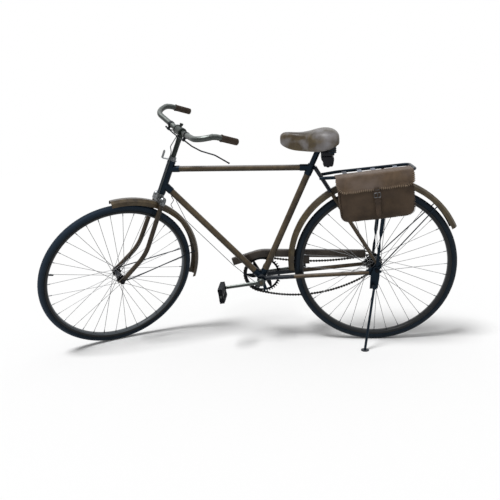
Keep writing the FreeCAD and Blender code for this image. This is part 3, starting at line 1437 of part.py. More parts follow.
def saddle():
    """Padded leather saddle on a sprung steel frame, and the post that holds it."""
    rows = [saddle_section(SADDLE_AT.x + x, half_width, SADDLE_AT.z + top, depth)
            for x, half_width, top, depth in SADDLE_ROWS]
    cover = Part.makeLoft(rows, True, False).cut(saddle_hollow())
    keep(feature("saddle_cover", cover), "saddle_cover", ON_FRAME)
    post_top = SEAT_TOP + SEAT_UP * size.post_rise
    post = rod("seat_post", SEAT_TOP - SEAT_UP * 90, post_top, "Sizes.seat_post_radius")
    keep(post, "seat_post", ON_FRAME)
    barrel = rod("saddle_clamp_barrel", SADDLE_AT - RIGHT * 30, SADDLE_AT + RIGHT * 30, 11.0)
    post_hole = rod("saddle_clamp_bore", SEAT_TOP, post_top, "Sizes.seat_post_radius + Sizes.braze_gap")
    pieces = [cut("saddle_clamp", barrel, [post_hole])]
    spring_x = size.saddle_spring_x
    spring_y = size.saddle_spring_y
    for side in (-1, 1):
        line = [(-127, side * 7, 24), (-50, side * 22, 0), (22, side * 22, 0), (spring_x, side * spring_y, 0)]
        rail = bent_rod([SADDLE_AT + Vector(*point) for point in line], size.saddle_rail_radius, [60.0, 14.0])
        pieces.append(feature("saddle_rail", rail))
        foot = SADDLE_AT + Vector(spring_x, side * spring_y, -8)
        head = SADDLE_AT + Vector(spring_x, side * spring_y, size.saddle_pan_rise - size.soft_gap)
        pieces.append(rod("saddle_spring", foot, head, "Sizes.saddle_spring_radius"))
    nose = SADDLE_AT + Vector(-127, 0, 24)
    pieces.append(rod("saddle_nose_bolt", nose - RIGHT * 11, nose + RIGHT * 11, 4.5))
    keep(fuse("saddle_frame", pieces), "saddle_frame", ON_FRAME)
    long = size.pouch_length
    high = size.pouch_height
    front = (size.seat_post_radius + 2) / math.sin(math.radians(size.seat_angle)) - 2
    pouch = plate("tool_pouch", [(0, 0), (0, -47), (9, -high), (long, -high), (long, 0)], "Sizes.pouch_width")
    under_rails = size.saddle_rail_radius + size.soft_gap
    place(pouch, at(SADDLE_AT + Vector(front, 0, -under_rails)))
    keep(pouch, "tool_pouch", ON_FRAME)


# Side stand

def ground_point(x, y):
    """Point of the upright frame that touches the ground once the bicycle leans."""
    base = ON_FRAME.multVec(Vector(x, y, 0))
    rise = ON_FRAME.Rotation.multVec(UP).z
    return Vector(x, y, -base.z / rise)


def stand_pivot():
    return REAR_AXLE + Vector(-size.stand_pivot_ahead, size.stand_pivot_y, -size.stand_pivot_below)


def stand_foot():
    """Foot of the stand on the ground, and the ground's upward direction in the upright frame."""
    return (ground_point(REAR_AXLE.x - size.stand_foot_ahead, size.stand_foot_y),
            ON_FRAME.Rotation.inverted().multVec(UP))


def stand_axis():
    """Hinge axis of the stand: across the bicycle and square to the leg, pointing to the right."""
    leg = stand_foot()[0] - stand_pivot()
    return Vector(0, -leg.z, leg.y).normalize()


def side_stand():
    """Stand bracket held by the left axle nut, with a pin on which the leg's eye turns."""
    pivot = stand_pivot()
    axis = stand_axis()
    plate_y = -(rear_seat("nut") + size.axle_gap + size.stand_plate_thickness / 2)
    body = plate("stand_plate", [(-30, -84), (4, -84), (12, -30), (12, 14), (-12, 14), (-26, -20)],
                 "Sizes.stand_plate_thickness", [(0, 0, "Sizes.axle_radius + Sizes.axle_gap")])
    place(body, at(Vector(REAR_AXLE.x, plate_y, REAR_AXLE.z)))
    reach = (plate_y - pivot.y) / axis.y
    pin = rod("stand_pin", pivot - axis * 8, pivot + axis * reach, "Sizes.stand_pin_radius")
    head = rod("stand_pin_head", pivot - axis * 10, pivot - axis * (6 + size.stand_side_gap), 7.5)
    boss = rod("stand_boss", pivot + axis * (6 + size.stand_side_gap), pivot + axis * reach, 9.5)
    keep(fuse("stand_bracket", [body, pin, head, boss]), "stand_bracket", ON_FRAME)
    foot, ground_up = stand_foot()
    pad = rod("stand_pad", foot, foot + ground_up * size.stand_pad_thickness, "Sizes.stand_pad_radius")
    leg = rod("stand_rod", pivot, foot + ground_up * 3, "Sizes.stand_rod_radius")
    eye = rod("stand_eye", pivot - axis * 6, pivot + axis * 6, "Sizes.stand_pin_radius + 5")
    bore = rod("stand_eye_bore", pivot - axis * 9, pivot + axis * 9,
               "Sizes.stand_pin_radius + Sizes.hub_running_gap")
    keep(cut("stand_leg", fuse("stand_leg_body", [leg, pad, eye]), [bore]), "stand_leg", ON_FRAME)


def build():
    head_tube()
    main_tubes()
    head_lugs()
    seat_lug()
    bottom_bracket()
    rear_stays()
    keep(collect("rear_dropouts", rear_dropouts()), "rear_dropouts", ON_FRAME)
    rear_axle_set()
    wheel("rear", REAR_AXLE, "Sizes.rear_flange_radius", "Sizes.rear_flange_offset", ON_FRAME)
    wheel("front", FRONT_AXLE, "Sizes.front_flange_radius", "Sizes.front_flange_offset", ON_STEERING)
    mudguards()
    fork()
    front_axle_set()
    stem()
    handlebar()
    brakes()
    lamp_bracket()
    frame_fittings()
    chain()
    chainring()
    sprocket()
    cranks()
    chain_guard()
    rack()
    pannier()
    saddle()
    side_stand()


def check():
    """Stop if any object failed or any sub-part has no sound shape."""
    for item in document.Objects:
        if "Invalid" in item.State or "Error" in item.State:
            raise SystemExit("failed: %s %s" % (item.Name, item.State))
    for label, piece, _ in nodes:
        if piece.Shape.isNull() or not piece.Shape.isValid() or not piece.Shape.Solids:
            raise SystemExit("bad shape: " + label)


def corners_of(shape):
    """Lowest and highest corner of a shape's surface."""
    points = shape.tessellate(0.2)[0]
    low = Vector(min(p.x for p in points), min(p.y for p in points), min(p.z for p in points))
    high = Vector(max(p.x for p in points), max(p.y for p in points), max(p.z for p in points))
    return low, high


def set_down():
    """Park the bicycle and bring the middle of its footprint to the origin."""
    for _, piece, stance in nodes:
        piece.Placement = stance * piece.Placement
    document.recompute()
    corners = [corners_of(piece.Shape) for _, piece, _ in nodes]
    low = Vector(*(min(pair[0][axis] for pair in corners) for axis in range(3)))
    high = Vector(*(max(pair[1][axis] for pair in corners) for axis in range(3)))
    shift = Placement(Vector(-(low.x + high.x) / 2, -(low.y + high.y) / 2, -low.z), Rotation())
    for _, piece, _ in nodes:
        piece.Placement = shift * piece.Placement
    document.recompute()
    return shift


def write():
    os.makedirs("parts", exist_ok=True)
    for label, piece, _ in nodes:
        piece.Shape.exportStep("parts/%s.step" % label)


build()
document.recompute()
check()
shift = set_down()
write()
print("pieces", len(nodes), "shift", shift.Base)
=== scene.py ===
"""An old roadster bicycle parked on its side stand, dressed in worn enamel, rubber, nickel and leather."""
import json
import math

import bmesh
import bpy
from mathutils import Matrix, Quaternion, Vector, noise


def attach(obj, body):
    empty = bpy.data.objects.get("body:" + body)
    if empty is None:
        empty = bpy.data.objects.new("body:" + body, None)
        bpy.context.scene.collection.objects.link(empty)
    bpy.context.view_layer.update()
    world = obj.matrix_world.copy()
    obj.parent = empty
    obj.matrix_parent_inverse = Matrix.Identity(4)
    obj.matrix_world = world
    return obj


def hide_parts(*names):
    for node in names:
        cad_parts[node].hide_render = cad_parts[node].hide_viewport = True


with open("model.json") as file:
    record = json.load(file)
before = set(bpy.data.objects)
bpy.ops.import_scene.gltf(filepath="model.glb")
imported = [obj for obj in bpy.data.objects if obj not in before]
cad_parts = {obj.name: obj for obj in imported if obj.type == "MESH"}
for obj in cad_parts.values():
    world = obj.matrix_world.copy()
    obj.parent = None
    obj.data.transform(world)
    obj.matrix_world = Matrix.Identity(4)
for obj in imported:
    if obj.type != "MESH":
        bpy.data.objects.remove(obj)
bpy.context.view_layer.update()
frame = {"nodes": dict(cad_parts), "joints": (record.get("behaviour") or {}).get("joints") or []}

bpy.ops.object.select_all(action="DESELECT")

# The photographer's place
# A little behind the middle of the bicycle, on its left, just below the height of the saddle. The camera
# leans slightly, and the picture was cropped a little off its centre.
eye = Vector((0.21755, -2.33411, 0.87623))
aim = Vector((-0.02884, 0.07858, 0.5598))
camera_roll = math.radians(-2.4081)
bpy.ops.object.camera_add(location=eye)
camera = bpy.context.object
camera.rotation_mode = "QUATERNION"
camera.rotation_quaternion = (aim - eye).to_track_quat("-Z", "Y") @ Quaternion((0, 0, 1), camera_roll)
camera.data.sensor_width = 36.0
camera.data.lens = 38.27
camera.data.shift_x = 0.0130
camera.data.shift_y = -0.0573
camera.data.clip_end = 60.0
bpy.context.scene.camera = camera

# The studio
# A matt white floor in front of white paper, under one broad lamp high on the camera's left. The paper is the
# world: full white to the camera and in reflections, and dimmer as a light on the bicycle.
bpy.context.scene.view_settings.view_transform = "Standard"


def plain(name, **values):
    """New material whose shader has these inputs, with _ for a space in their names."""
    material = bpy.data.materials.new(name)
    material.use_nodes = True
    shader = material.node_tree.nodes["Principled BSDF"]
    for entry, value in values.items():
        shader.inputs[entry.replace("_", " ")].default_value = value
    return material


def added(tree, kind, **values):
    """New node of a kind. Names with a capital are its inputs, with _ for a space, others its settings."""
    node = tree.nodes.new("ShaderNode" + kind)
    for entry, value in values.items():
        if entry[0].isupper():
            node.inputs[entry.replace("_", " ")].default_value = value
        else:
            setattr(node, entry, value)
    return node


def wired(tree, *ends):
    """Link nodes, each link given as (node, output, node, input)."""
    for start, output, end, entry in ends:
        tree.links.new(start.outputs[output], end.inputs[entry])


bpy.ops.mesh.primitive_plane_add(size=60.0)
floor = bpy.context.object
floor.name = "floor"
floor.data.materials.append(plain("white_paper", Base_Color=(0.93, 0.93, 0.93, 1), Roughness=1.0,
                                  Specular_IOR_Level=0.0))

studio = bpy.data.worlds.new("studio")
bpy.context.scene.world = studio
studio.use_nodes = True
surround = studio.node_tree
rays = added(surround, "LightPath")
camera_or_gloss = added(surround, "Math", operation="MAXIMUM")
seen = added(surround, "Math", operation="MAXIMUM")
strength = added(surround, "MapRange", To_Min=0.34, To_Max=1.0)
backdrop = surround.nodes["Background"]
backdrop.inputs["Color"].default_value = (1, 1, 1, 1)
wired(surround, (rays, "Is Camera Ray", camera_or_gloss, 0), (rays, "Is Glossy Ray", camera_or_gloss, 1),
      (camera_or_gloss, 0, seen, 0), (rays, "Is Transmission Ray", seen, 1),
      (seen, 0, strength, "Value"), (strength, "Result", backdrop, "Strength"))

bpy.ops.object.light_add(type="SUN", location=(-1.4, -1.6, 4.0))
lamp = bpy.context.object
lamp.name = "broad_lamp"
lamp.rotation_euler = Vector((1.0, 1.1, -3.0)).to_track_quat("-Z", "Y").to_euler()
lamp.data.energy = 2.6
lamp.data.angle = math.radians(20)

# The bicycle's own axes
# It is built upright and then leans on its stand with the front wheel turned in. The wheels' and the
# steering's axes give back both stances, so that new pieces can be modelled upright, in metres.
joints = {joint["name"]: joint for joint in frame["joints"]}
wheel_base = 1.1734
tyre_radius = 0.3555
head_angle = math.radians(66.29)
right_way = Vector(joints["rear_wheel_turn"]["axis"]).normalized()
head_up = Vector(joints["steering_turn"]["axis"]).normalized()
head_forward = head_up.cross(right_way)
rear_way = head_up * math.cos(head_angle) - head_forward * math.sin(head_angle)
up_way = head_up * math.sin(head_angle) + head_forward * math.cos(head_angle)
rear_axle = Vector(joints["rear_wheel_turn"]["pos_m"])
ground_middle = rear_axle - rear_way * wheel_base / 2 - up_way * tyre_radius
upright = Matrix((rear_way, right_way, up_way)).transposed().to_4x4()
upright.translation = ground_middle
front_spindle = Vector(joints["front_wheel_turn"]["axis"]).normalized()
steering_turn = math.atan2(head_up.dot(right_way.cross(front_spindle)), right_way.dot(front_spindle))
steering_foot = Matrix.Translation(Vector(joints["steering_turn"]["pos_m"]))
steered = (steering_foot @ Matrix.Rotation(steering_turn, 4, head_up) @ steering_foot.inverted()) @ upright
front_centre = Vector((-wheel_base / 2, 0, tyre_radius))
rear_centre = Vector((wheel_base / 2, 0, tyre_radius))
bracket = Vector((0.082, 0, 0.309))
saddle_at = Vector((0.34977, 0, 0.88014))

# Frame tubes, fork and guards
# Brown-olive enamel with stains and scuffs, paler on top from dust and a painted highlight and darker below
# from painted shade, a little different on each piece. The seat stays' tops and the chain stays' fronts wear
# the blue-black of the lugs.
olive = (0.110, 0.081, 0.045)
olive_shade = (0.036, 0.026, 0.017)
olive_worn = (0.19, 0.175, 0.155)
blue_black = (0.0045, 0.0075, 0.0135)
blue_black_shade = (0.002, 0.003, 0.005)
olive_gloss = 0.26


def stops(ramp, *places):
    """Move a colour ramp's two stops."""
    for element, place in zip(ramp.color_ramp.elements, places):
        element.position = place
    return ramp


def enamel(name, colour, shade, worn, roughness, dust=0.70, dark_beyond=None):
    """Old enamel: stains, thin scuffs, pale dust with a painted highlight on what faces up, painted shade on
    what faces down.

    The dust argument sets how much pale dust and painted highlight lies on top. Beyond a plane, given as
    (axis, place, width), it turns into the lugs' blue-black.
    """
    paint = plain(name, Specular_IOR_Level=0.22)
    tree = paint.node_tree
    shader = tree.nodes["Principled BSDF"]
    place = added(tree, "TexCoord")
    stains = added(tree, "TexNoise", Scale=30.0, Detail=9.0, Roughness=0.7)
    stain_step = stops(added(tree, "ValToRGB"), 0.36, 0.70)
    stained = added(tree, "Mix", data_type="RGBA", A=(*colour, 1), B=(*shade, 1))
    scuffs = added(tree, "TexNoise", Scale=95.0, Detail=10.0, Roughness=0.62, Distortion=1.8)
    scuff_step = stops(added(tree, "ValToRGB"), 0.63, 0.78)
    scuffed = added(tree, "Mix", data_type="RGBA", B=(*worn, 1))
    surface = added(tree, "NewGeometry")
    facing = added(tree, "SeparateXYZ")
    # Pale grey on what faces up: dust, and a painted highlight along the tops.
    dust_and_highlight_step = added(tree, "MapRange", From_Min=0.50, From_Max=0.90, To_Max=dust)
    dust_and_highlight = added(tree, "Mix", data_type="RGBA", B=(0.31, 0.31, 0.32, 1))
    # Darker on what faces down: painted shade.
    painted_shade_step = added(tree, "MapRange", From_Min=-0.65, From_Max=0.45, To_Min=0.30)
    with_painted_shade = added(tree, "VectorMath", operation="SCALE")
    dulling = added(tree, "MapRange", To_Min=roughness, To_Max=roughness + 0.20)
    waves = added(tree, "Bump", Strength=0.15, Distance=0.0006)
    wired(tree, (place, "Object", stains, "Vector"), (place, "Object", scuffs, "Vector"),
          (stains, "Fac", stain_step, "Fac"), (stain_step, "Color", stained, "Factor"),
          (scuffs, "Fac", scuff_step, "Fac"), (scuff_step, "Color", scuffed, "Factor"),
          (stained, "Result", scuffed, "A"), (surface, "Normal", facing, "Vector"),
          (facing, "Z", dust_and_highlight_step, "Value"), (dust_and_highlight_step, "Result", dust_and_highlight, "Factor"),
          (scuffed, "Result", dust_and_highlight, "A"), (facing, "Z", painted_shade_step, "Value"),
          (painted_shade_step, "Result", with_painted_shade, "Scale"), (dust_and_highlight, "Result", with_painted_shade, "Vector"),
          (with_painted_shade, "Vector", shader, "Base Color"), (stains, "Fac", dulling, "Value"),
          (dulling, "Result", shader, "Roughness"), (scuffs, "Fac", waves, "Height"),
          (waves, "Normal", shader, "Normal"))
    if dark_beyond:
        axis, middle, width = dark_beyond
        split = added(tree, "SeparateXYZ")
        border = added(tree, "MapRange", From_Min=middle - width, From_Max=middle + width)
        two_tone = added(tree, "Mix", data_type="RGBA", B=(*blue_black, 1))
        wired(tree, (place, "Object", split, "Vector"), (split, axis, border, "Value"),
              (border, "Result", two_tone, "Factor"), (with_painted_shade, "Vector", two_tone, "A"),
              (two_tone, "Result", shader, "Base Color"))
    return paint


def dress(material, *names):
    """Give CAD nodes that already have their real shape a finish."""
    for name in names:
        node = frame["nodes"][name]
        node.data.materials.clear()
        node.data.materials.append(material)


stay_border = (upright @ Vector((0.399, 0, 0.696))).z
chain_stay_border = (upright @ Vector((0.229, 0, 0.33))).x
dress(enamel("olive_enamel", olive, olive_shade, olive_worn, olive_gloss),
      "top_tube", "down_tube", "seat_tube", "crank_axle")
dress(enamel("chain_guard_enamel", (0.076, 0.060, 0.046), (0.030, 0.023, 0.019), olive_worn, olive_gloss,
             0.45), "chain_guard")
# The fork's olive is darker than the frame's, and that darker tone is painted shade.
dress(enamel("fork_enamel", (0.068, 0.049, 0.030), (0.022, 0.016, 0.011), (0.12, 0.11, 0.10), olive_gloss,
             0.45), "fork_blades")
dress(enamel("front_guard_enamel", olive, olive_shade, olive_worn, olive_gloss, 0.38), "front_mudguard")
dress(enamel("rear_guard_enamel", (0.092, 0.071, 0.038), olive_shade, (0.14, 0.13, 0.11), olive_gloss, 0.26),
      "rear_mudguard")
dress(enamel("seat_stay_enamel", olive, olive_shade, olive_worn, olive_gloss, 0.70,
             ("Z", stay_border, 0.003)), "seat_stays")
dress(enamel("chain_stay_enamel", (0.105, 0.072, 0.040), olive_shade, olive_worn, olive_gloss, 0.26,
             ("X", chain_stay_border, -0.003)), "chain_stays")

# Dark pieces of the frame
# Lugs, head tube, bracket shell, fork ends, carrier, stand, seat post, saddle frame, wire stays and rods wear
# blue-black enamel with a bluish gloss. The carrier's cross strips are a paler blue-grey.
dark_enamel = enamel("dark_enamel", blue_black, blue_black_shade, (0.10, 0.105, 0.12), 0.22, 0.10)
dark_enamel.node_tree.nodes["Principled BSDF"].inputs["Specular Tint"].default_value = (0.45, 0.72, 1.0, 1)
strip_enamel = enamel("strip_enamel", (0.21, 0.25, 0.32), (0.10, 0.12, 0.16), (0.36, 0.38, 0.40), 0.42, 0.3)
dress(dark_enamel, "head_tube", "head_lugs", "seat_lug", "bottom_bracket", "rear_dropouts", "rack_frame",
      "rack_legs", "stand_bracket", "stand_leg", "saddle_frame", "front_mudguard_stays",
      "rear_mudguard_stays", "seat_post", "steering_spring", "rear_brake_rod", "bracket_tab")
dress(strip_enamel, "rack_strips")

# Plated and bare steel
# Only the crown and the lamp bracket still shine. The bar has browned, the stem is darker, hubs, levers,
# axles, chainring and pedals are dark with oil, and the spokes are dull grey.


def steel(name, colour, tarnish, roughness, freckles):
    """Plated or bare steel: hazed, freckled with rust, and shaded in bands by how far it faces up.

    The bands stand for a dim room that the metal would mirror, since the studio has none.
    """
    metal = plain(name, Metallic=1.0)
    tree = metal.node_tree
    shader = tree.nodes["Principled BSDF"]
    place = added(tree, "TexCoord")
    haze = added(tree, "TexNoise", Scale=60.0, Detail=7.0)
    rust = added(tree, "TexNoise", Scale=210.0, Detail=9.0)
    rust_step = stops(added(tree, "ValToRGB"), freckles, freckles + 0.2)
    surface = added(tree, "NewGeometry")
    facing = added(tree, "SeparateXYZ")
    room = stops(added(tree, "ValToRGB"), 0.0, 1.0)
    room.color_ramp.elements[0].color = (0.16, 0.13, 0.09, 1)
    room.color_ramp.elements[1].color = (1, 1, 1, 1)
    for stop, shade in ((0.22, 0.34), (0.45, 0.12), (0.62, 0.22), (0.78, 0.85)):
        room.color_ramp.elements.new(stop).color = (shade, shade * 0.98, shade * 0.96, 1)
    from_down = added(tree, "MapRange", From_Min=-1.0)
    mirrored = added(tree, "Mix", data_type="RGBA", blend_type="MULTIPLY", Factor=0.85)
    coat = added(tree, "Mix", data_type="RGBA", A=(*colour, 1), B=(*tarnish, 1))
    hazing = added(tree, "MapRange", To_Min=roughness, To_Max=roughness + 0.3)
    wired(tree, (place, "Object", haze, "Vector"), (place, "Object", rust, "Vector"),
          (rust, "Fac", rust_step, "Fac"), (rust_step, "Color", coat, "Factor"),
          (surface, "Normal", facing, "Vector"), (facing, "Z", from_down, "Value"),
          (from_down, "Result", room, "Fac"), (coat, "Result", mirrored, "A"), (room, "Color", mirrored, "B"),
          (mirrored, "Result", shader, "Base Color"), (haze, "Fac", hazing, "Value"),
          (hazing, "Result", shader, "Roughness"))
    return metal


nickel = steel("hazed_nickel", (0.46, 0.49, 0.51), (0.055, 0.055, 0.062), 0.18, 0.47)
bare_steel = steel("oiled_steel", (0.30, 0.31, 0.33), (0.09, 0.07, 0.055), 0.34, 0.50)
browned_steel = steel("browned_steel", (0.19, 0.212, 0.206), (0.05, 0.040, 0.030), 0.22, 0.53)
stem_steel = steel("stem_steel", (0.085, 0.100, 0.096), (0.030, 0.030, 0.028), 0.26, 0.50)
dark_steel = steel("dark_steel", (0.038, 0.042, 0.050), (0.016, 0.015, 0.015), 0.32, 0.50)
spoke_steel = steel("spoke_steel", (0.42, 0.43, 0.45), (0.22, 0.20, 0.18), 0.40, 0.55)
chain_steel = steel("oily_chain_steel", (0.11, 0.105, 0.10), (0.035, 0.028, 0.02), 0.42, 0.45)
dress(nickel, "fork_crown", "lamp_bracket")
dress(browned_steel, "handlebar", "front_brake_rod")
dress(stem_steel, "stem")
dress(dark_steel, "front_hub", "rear_hub", "brake_levers", "brake_clamps", "brake_rods", "front_axle",
      "rear_axle", "left_pedal", "right_pedal", "chainring", "rear_sprocket")
dress(spoke_steel, "front_spokes", "rear_spokes")

# Tyres
# Black ribbed rubber, 28 by 1 3/8 inch, greyed with dust and paler on the tread, from wear and, on the front
# tyre, from a painted bluish sheen as well. Each is one ring turned from its section, and seated on its rim.


def park(piece, stance, body, material):
    """Set an upright piece down in the parked bicycle, painted, and hold it to its body."""
    piece.matrix_world = stance @ piece.matrix_basis
    bpy.ops.object.select_all(action="DESELECT")
    piece.select_set(True)
    bpy.context.view_layer.objects.active = piece
    bpy.ops.object.transform_apply(location=True, rotation=True, scale=True)
    piece.data.materials.clear()
    piece.data.materials.append(material)
    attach(piece, body)


def skinned(degrees):
    """Turn all faces outwards, leave edit mode and smooth what bends less than an angle."""
    bpy.ops.mesh.select_all(action="SELECT")
    bpy.ops.mesh.normals_make_consistent(inside=False)
    bpy.ops.object.mode_set(mode="OBJECT")
    bpy.ops.object.shade_smooth_by_angle(angle=math.radians(degrees))


def turned(steps, axis):
    """Turn the section in edit mode once round an axis through the origin, and close it."""
    bpy.ops.mesh.select_all(action="SELECT")
    bpy.ops.mesh.spin(steps=steps, angle=math.tau, center=(0, 0, 0), axis=axis)
    bpy.ops.mesh.select_all(action="SELECT")
    bpy.ops.mesh.remove_doubles(threshold=1e-6)


def spun(name, section, steps):
    """Ring turned about the y axis from a closed section of (radius, y)."""
    bpy.ops.object.select_all(action="DESELECT")
    bpy.ops.mesh.primitive_circle_add(vertices=len(section), radius=0.01)
    ring = bpy.context.object
    ring.name = name
    for vertex, (radius, y) in zip(ring.data.vertices, section):
        vertex.co = (radius, y, 0)
    bpy.ops.object.mode_set(mode="EDIT")
    turned(steps, (0, 1, 0))
    skinned(35)
    return ring


def both_sides(half):
    """Closed section from one half of it, given from its middle outwards and round to the middle."""
    return half + [(radius, -y) for radius, y in reversed(half) if y > 1e-9]


def rubber(name, colour, dust, roughness, grain):
    """Old rubber: dust in slow patches over a fine pitted surface."""
    skin = plain(name, Specular_IOR_Level=0.16)
    tree = skin.node_tree
    shader = tree.nodes["Principled BSDF"]
    place = added(tree, "TexCoord")
    patches = added(tree, "TexNoise", Scale=34.0, Detail=9.0, Roughness=0.68)
    patch_step = stops(added(tree, "ValToRGB"), 0.42, 0.80)
    dusty = added(tree, "Mix", data_type="RGBA", A=(*colour, 1), B=(*dust, 1))
    pits = added(tree, "TexNoise", Scale=grain, Detail=4.0)
    relief = added(tree, "Bump", Strength=0.35, Distance=0.0007)
    dulling = added(tree, "MapRange", To_Min=roughness, To_Max=roughness + 0.25)
    wired(tree, (place, "Object", patches, "Vector"), (place, "Object", pits, "Vector"),
          (patches, "Fac", patch_step, "Fac"), (patch_step, "Color", dusty, "Factor"),
          (dusty, "Result", shader, "Base Color"), (patches, "Fac", dulling, "Value"),
          (dulling, "Result", shader, "Roughness"), (pits, "Fac", relief, "Height"),
          (relief, "Normal", shader, "Normal"))
    return skin


def recoloured(paint, centre, start, end, colour):
    """Turn a paint into another colour between two distances from a wheel's centre."""
    tree = paint.node_tree
    base = tree.nodes["Principled BSDF"].inputs["Base Color"]
    reach = added(tree, "VectorMath", operation="DISTANCE")
    reach.inputs[1].default_value = centre
    span = added(tree, "MapRange", From_Min=start, From_Max=end)
    blend = added(tree, "Mix", data_type="RGBA", B=(*colour, 1))
    tree.links.new(base.links[0].from_socket, blend.inputs["A"])
    wired(tree, (tree.nodes["Texture Coordinate"], "Object", reach, 0), (reach, "Value", span, "Value"),
          (span, "Result", blend, "Factor"), (blend, "Result", tree.nodes["Principled BSDF"], "Base Color"))


tyre_half = [(0.3555, 0.0), (0.3554, 0.0020), (0.3544, 0.0026), (0.3543, 0.0034), (0.3552, 0.0041),
             (0.3546, 0.0066), (0.3535, 0.0072), (0.3532, 0.0080), (0.3539, 0.0087), (0.3525, 0.0110),
             (0.3508, 0.0129), (0.3491, 0.0135), (0.3468, 0.0149), (0.3440, 0.0162), (0.3410, 0.0169),
             (0.3380, 0.0169), (0.3350, 0.0162), (0.3322, 0.0149), (0.3300, 0.0134), (0.3287, 0.0118),
             (0.3286, 0.0)]
# Tread tone: worn rubber, and on the front tyre a paler, bluer painted sheen.
tread_wear_and_sheen = {"front": (0.0150, 0.0230, 0.0360), "rear": (0.0095, 0.0115, 0.0150)}
wheels = (("front", front_centre, steered, "front_wheel"), ("rear", rear_centre, upright, "rear_wheel"))
for name, centre, stance, body in wheels:
    tyre = spun(name + "_ribbed_tyre", both_sides(tyre_half), 160)
    tyre.location = centre
    tyre_rubber = rubber(name + "_tyre_rubber", (0.0042, 0.0062, 0.0090), (0.013, 0.018, 0.026), 0.42, 700.0)
    recoloured(tyre_rubber, stance @ centre, 0.3375, 0.3505, tread_wear_and_sheen[name])
    shader = tyre_rubber.node_tree.nodes["Principled BSDF"]
    shader.inputs["Specular Tint"].default_value = (0.55, 0.78, 1.0, 1)
    park(tyre, stance, body, tyre_rubber)
    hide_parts(name + "_tyre")

# Rims, nipples and valves
# Rolled steel rims with rounded shoulders, in dull dark enamel that is rubbed thin towards the hub, where the
# front rim is much paler still, a painted highlight. A brass nipple, once nickelled, ends every spoke, and a
# rubber-covered valve stands on the inside of the rim.
# Rim colour towards the hub: rubbed enamel on the rear, a painted highlight on the front.
rubbed_edge_and_highlight = {"front": (0.075, 0.085, 0.095), "rear": (0.020, 0.021, 0.023)}
rim_half = [(0.3280, 0.0), (0.3280, 0.0112), (0.3290, 0.0134), (0.3298, 0.0139), (0.3300, 0.0144),
            (0.3296, 0.0150), (0.3276, 0.0150), (0.3240, 0.0147), (0.3204, 0.0134), (0.3174, 0.0108),
            (0.3156, 0.0074), (0.3150, 0.0040), (0.3150, 0.0)]
spoke_seat = rim_half[-1][0]
valve_angles = {"front": 161.0, "rear": 84.0}
spoke_ends = {"front": (0.017, 0.032), "rear": (0.021, 0.028)}


def pointing(place, way):
    """Matrix that takes a piece made along z to a place, along a way."""
    return Matrix.Translation(place) @ Vector(way).to_track_quat("Z", "Y").to_matrix().to_4x4()


def repeated(piece, places):
    """The modelled shape copied to every place, as one piece."""
    whole = bmesh.new()
    for place in places:
        shape = piece.data.copy()
        shape.transform(place)
        whole.from_mesh(shape)
        bpy.data.meshes.remove(shape)
    whole.to_mesh(piece.data)
    whole.free()
    return piece


def round_bar(name, radius, length, sides, tip):
    """Short round bar standing on the origin along z, its top drawn in to a share of its width."""
    bpy.ops.object.select_all(action="DESELECT")
    bpy.ops.mesh.primitive_cylinder_add(vertices=sides, radius=radius, depth=length,
                                        location=(0, 0, length / 2))
    bar = bpy.context.object
    bar.name = name
    bpy.ops.object.transform_apply(location=True)
    bpy.ops.object.mode_set(mode="EDIT")
    bpy.ops.mesh.select_all(action="DESELECT")
    bpy.ops.mesh.select_mode(type="FACE")
    cage = bmesh.from_edit_mesh(bar.data)
    for face in cage.faces:
        face.select_set(face.normal.z > 0.9)
    bmesh.update_edit_mesh(bar.data)
    bpy.ops.mesh.inset(thickness=radius * (1 - tip))
    bpy.ops.transform.translate(value=(0, 0, length * 0.12))
    bpy.ops.object.mode_set(mode="OBJECT")
    bpy.ops.object.shade_smooth_by_angle(angle=math.radians(40))
    return bar


def beside(degrees):
    """Unit vector in the middle plane, at an angle above the rearward direction."""
    return Vector((math.cos(math.radians(degrees)), 0, math.sin(math.radians(degrees))))


for name, centre, stance, body in wheels:
    rim = spun(name + "_rolled_rim", both_sides(rim_half), 144)
    rim.location = centre
    rim_enamel = enamel(name + "_rim_enamel", (0.012, 0.014, 0.016), (0.006, 0.007, 0.008),
                        (0.06, 0.06, 0.06), 0.20, 0.05)
    recoloured(rim_enamel, stance @ centre, 0.3215, 0.3190, rubbed_edge_and_highlight[name])
    park(rim, stance, body, rim_enamel)
    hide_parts(name + "_rim")
    flange_radius, flange_y = spoke_ends[name]
    places = []
    for number in range(36):
        leading = 1 if (number // 2) % 2 else -1
        side = 1 if number % 2 else -1
        start = beside(number * 10 + leading * 80) * flange_radius + Vector((0, side * flange_y, 0))
        end = beside(number * 10) * spoke_seat + Vector((0, side * 0.003, 0))
        places.append(pointing(centre + end, start - end))
    nipples = repeated(round_bar(name + "_nipples", 0.0021, 0.0125, 8, 0.55), places)
    park(nipples, stance, body, nickel)
    valve_way = beside(valve_angles[name])
    valve = round_bar(name + "_valve", 0.0036, 0.020, 10, 0.7)
    valve.matrix_world = pointing(centre + valve_way * (spoke_seat + 0.0002), valve_way * -1)
    park(valve, stance, body, bpy.data.materials[name + "_tyre_rubber"])

# Chain
# A half-inch roller chain of 112 links, black with oil. It runs on the ring and the sprocket and hangs
# slack between them, its links laid along the same kind of loop as the solid that they stand for.
pitch = 0.0127
link_count = 112
ring_teeth = 42
chain_y = 0.043
ring_radius = pitch / 2 / math.sin(math.pi / ring_teeth)
sprocket_radius = pitch / 2 / math.sin(math.pi / 18)
upper_slack = 1.150


def crossing(first, first_radius, second, second_radius):
    """Upper crossing of two circles in the middle plane."""
    gap = second - first
    share = (first_radius ** 2 - second_radius ** 2 + gap.length ** 2) / (2 * gap.length)
    height = math.sqrt(first_radius ** 2 - share ** 2)
    way = gap.normalized()
    return first + way * share + Vector((-way.z, 0, way.x)) * height


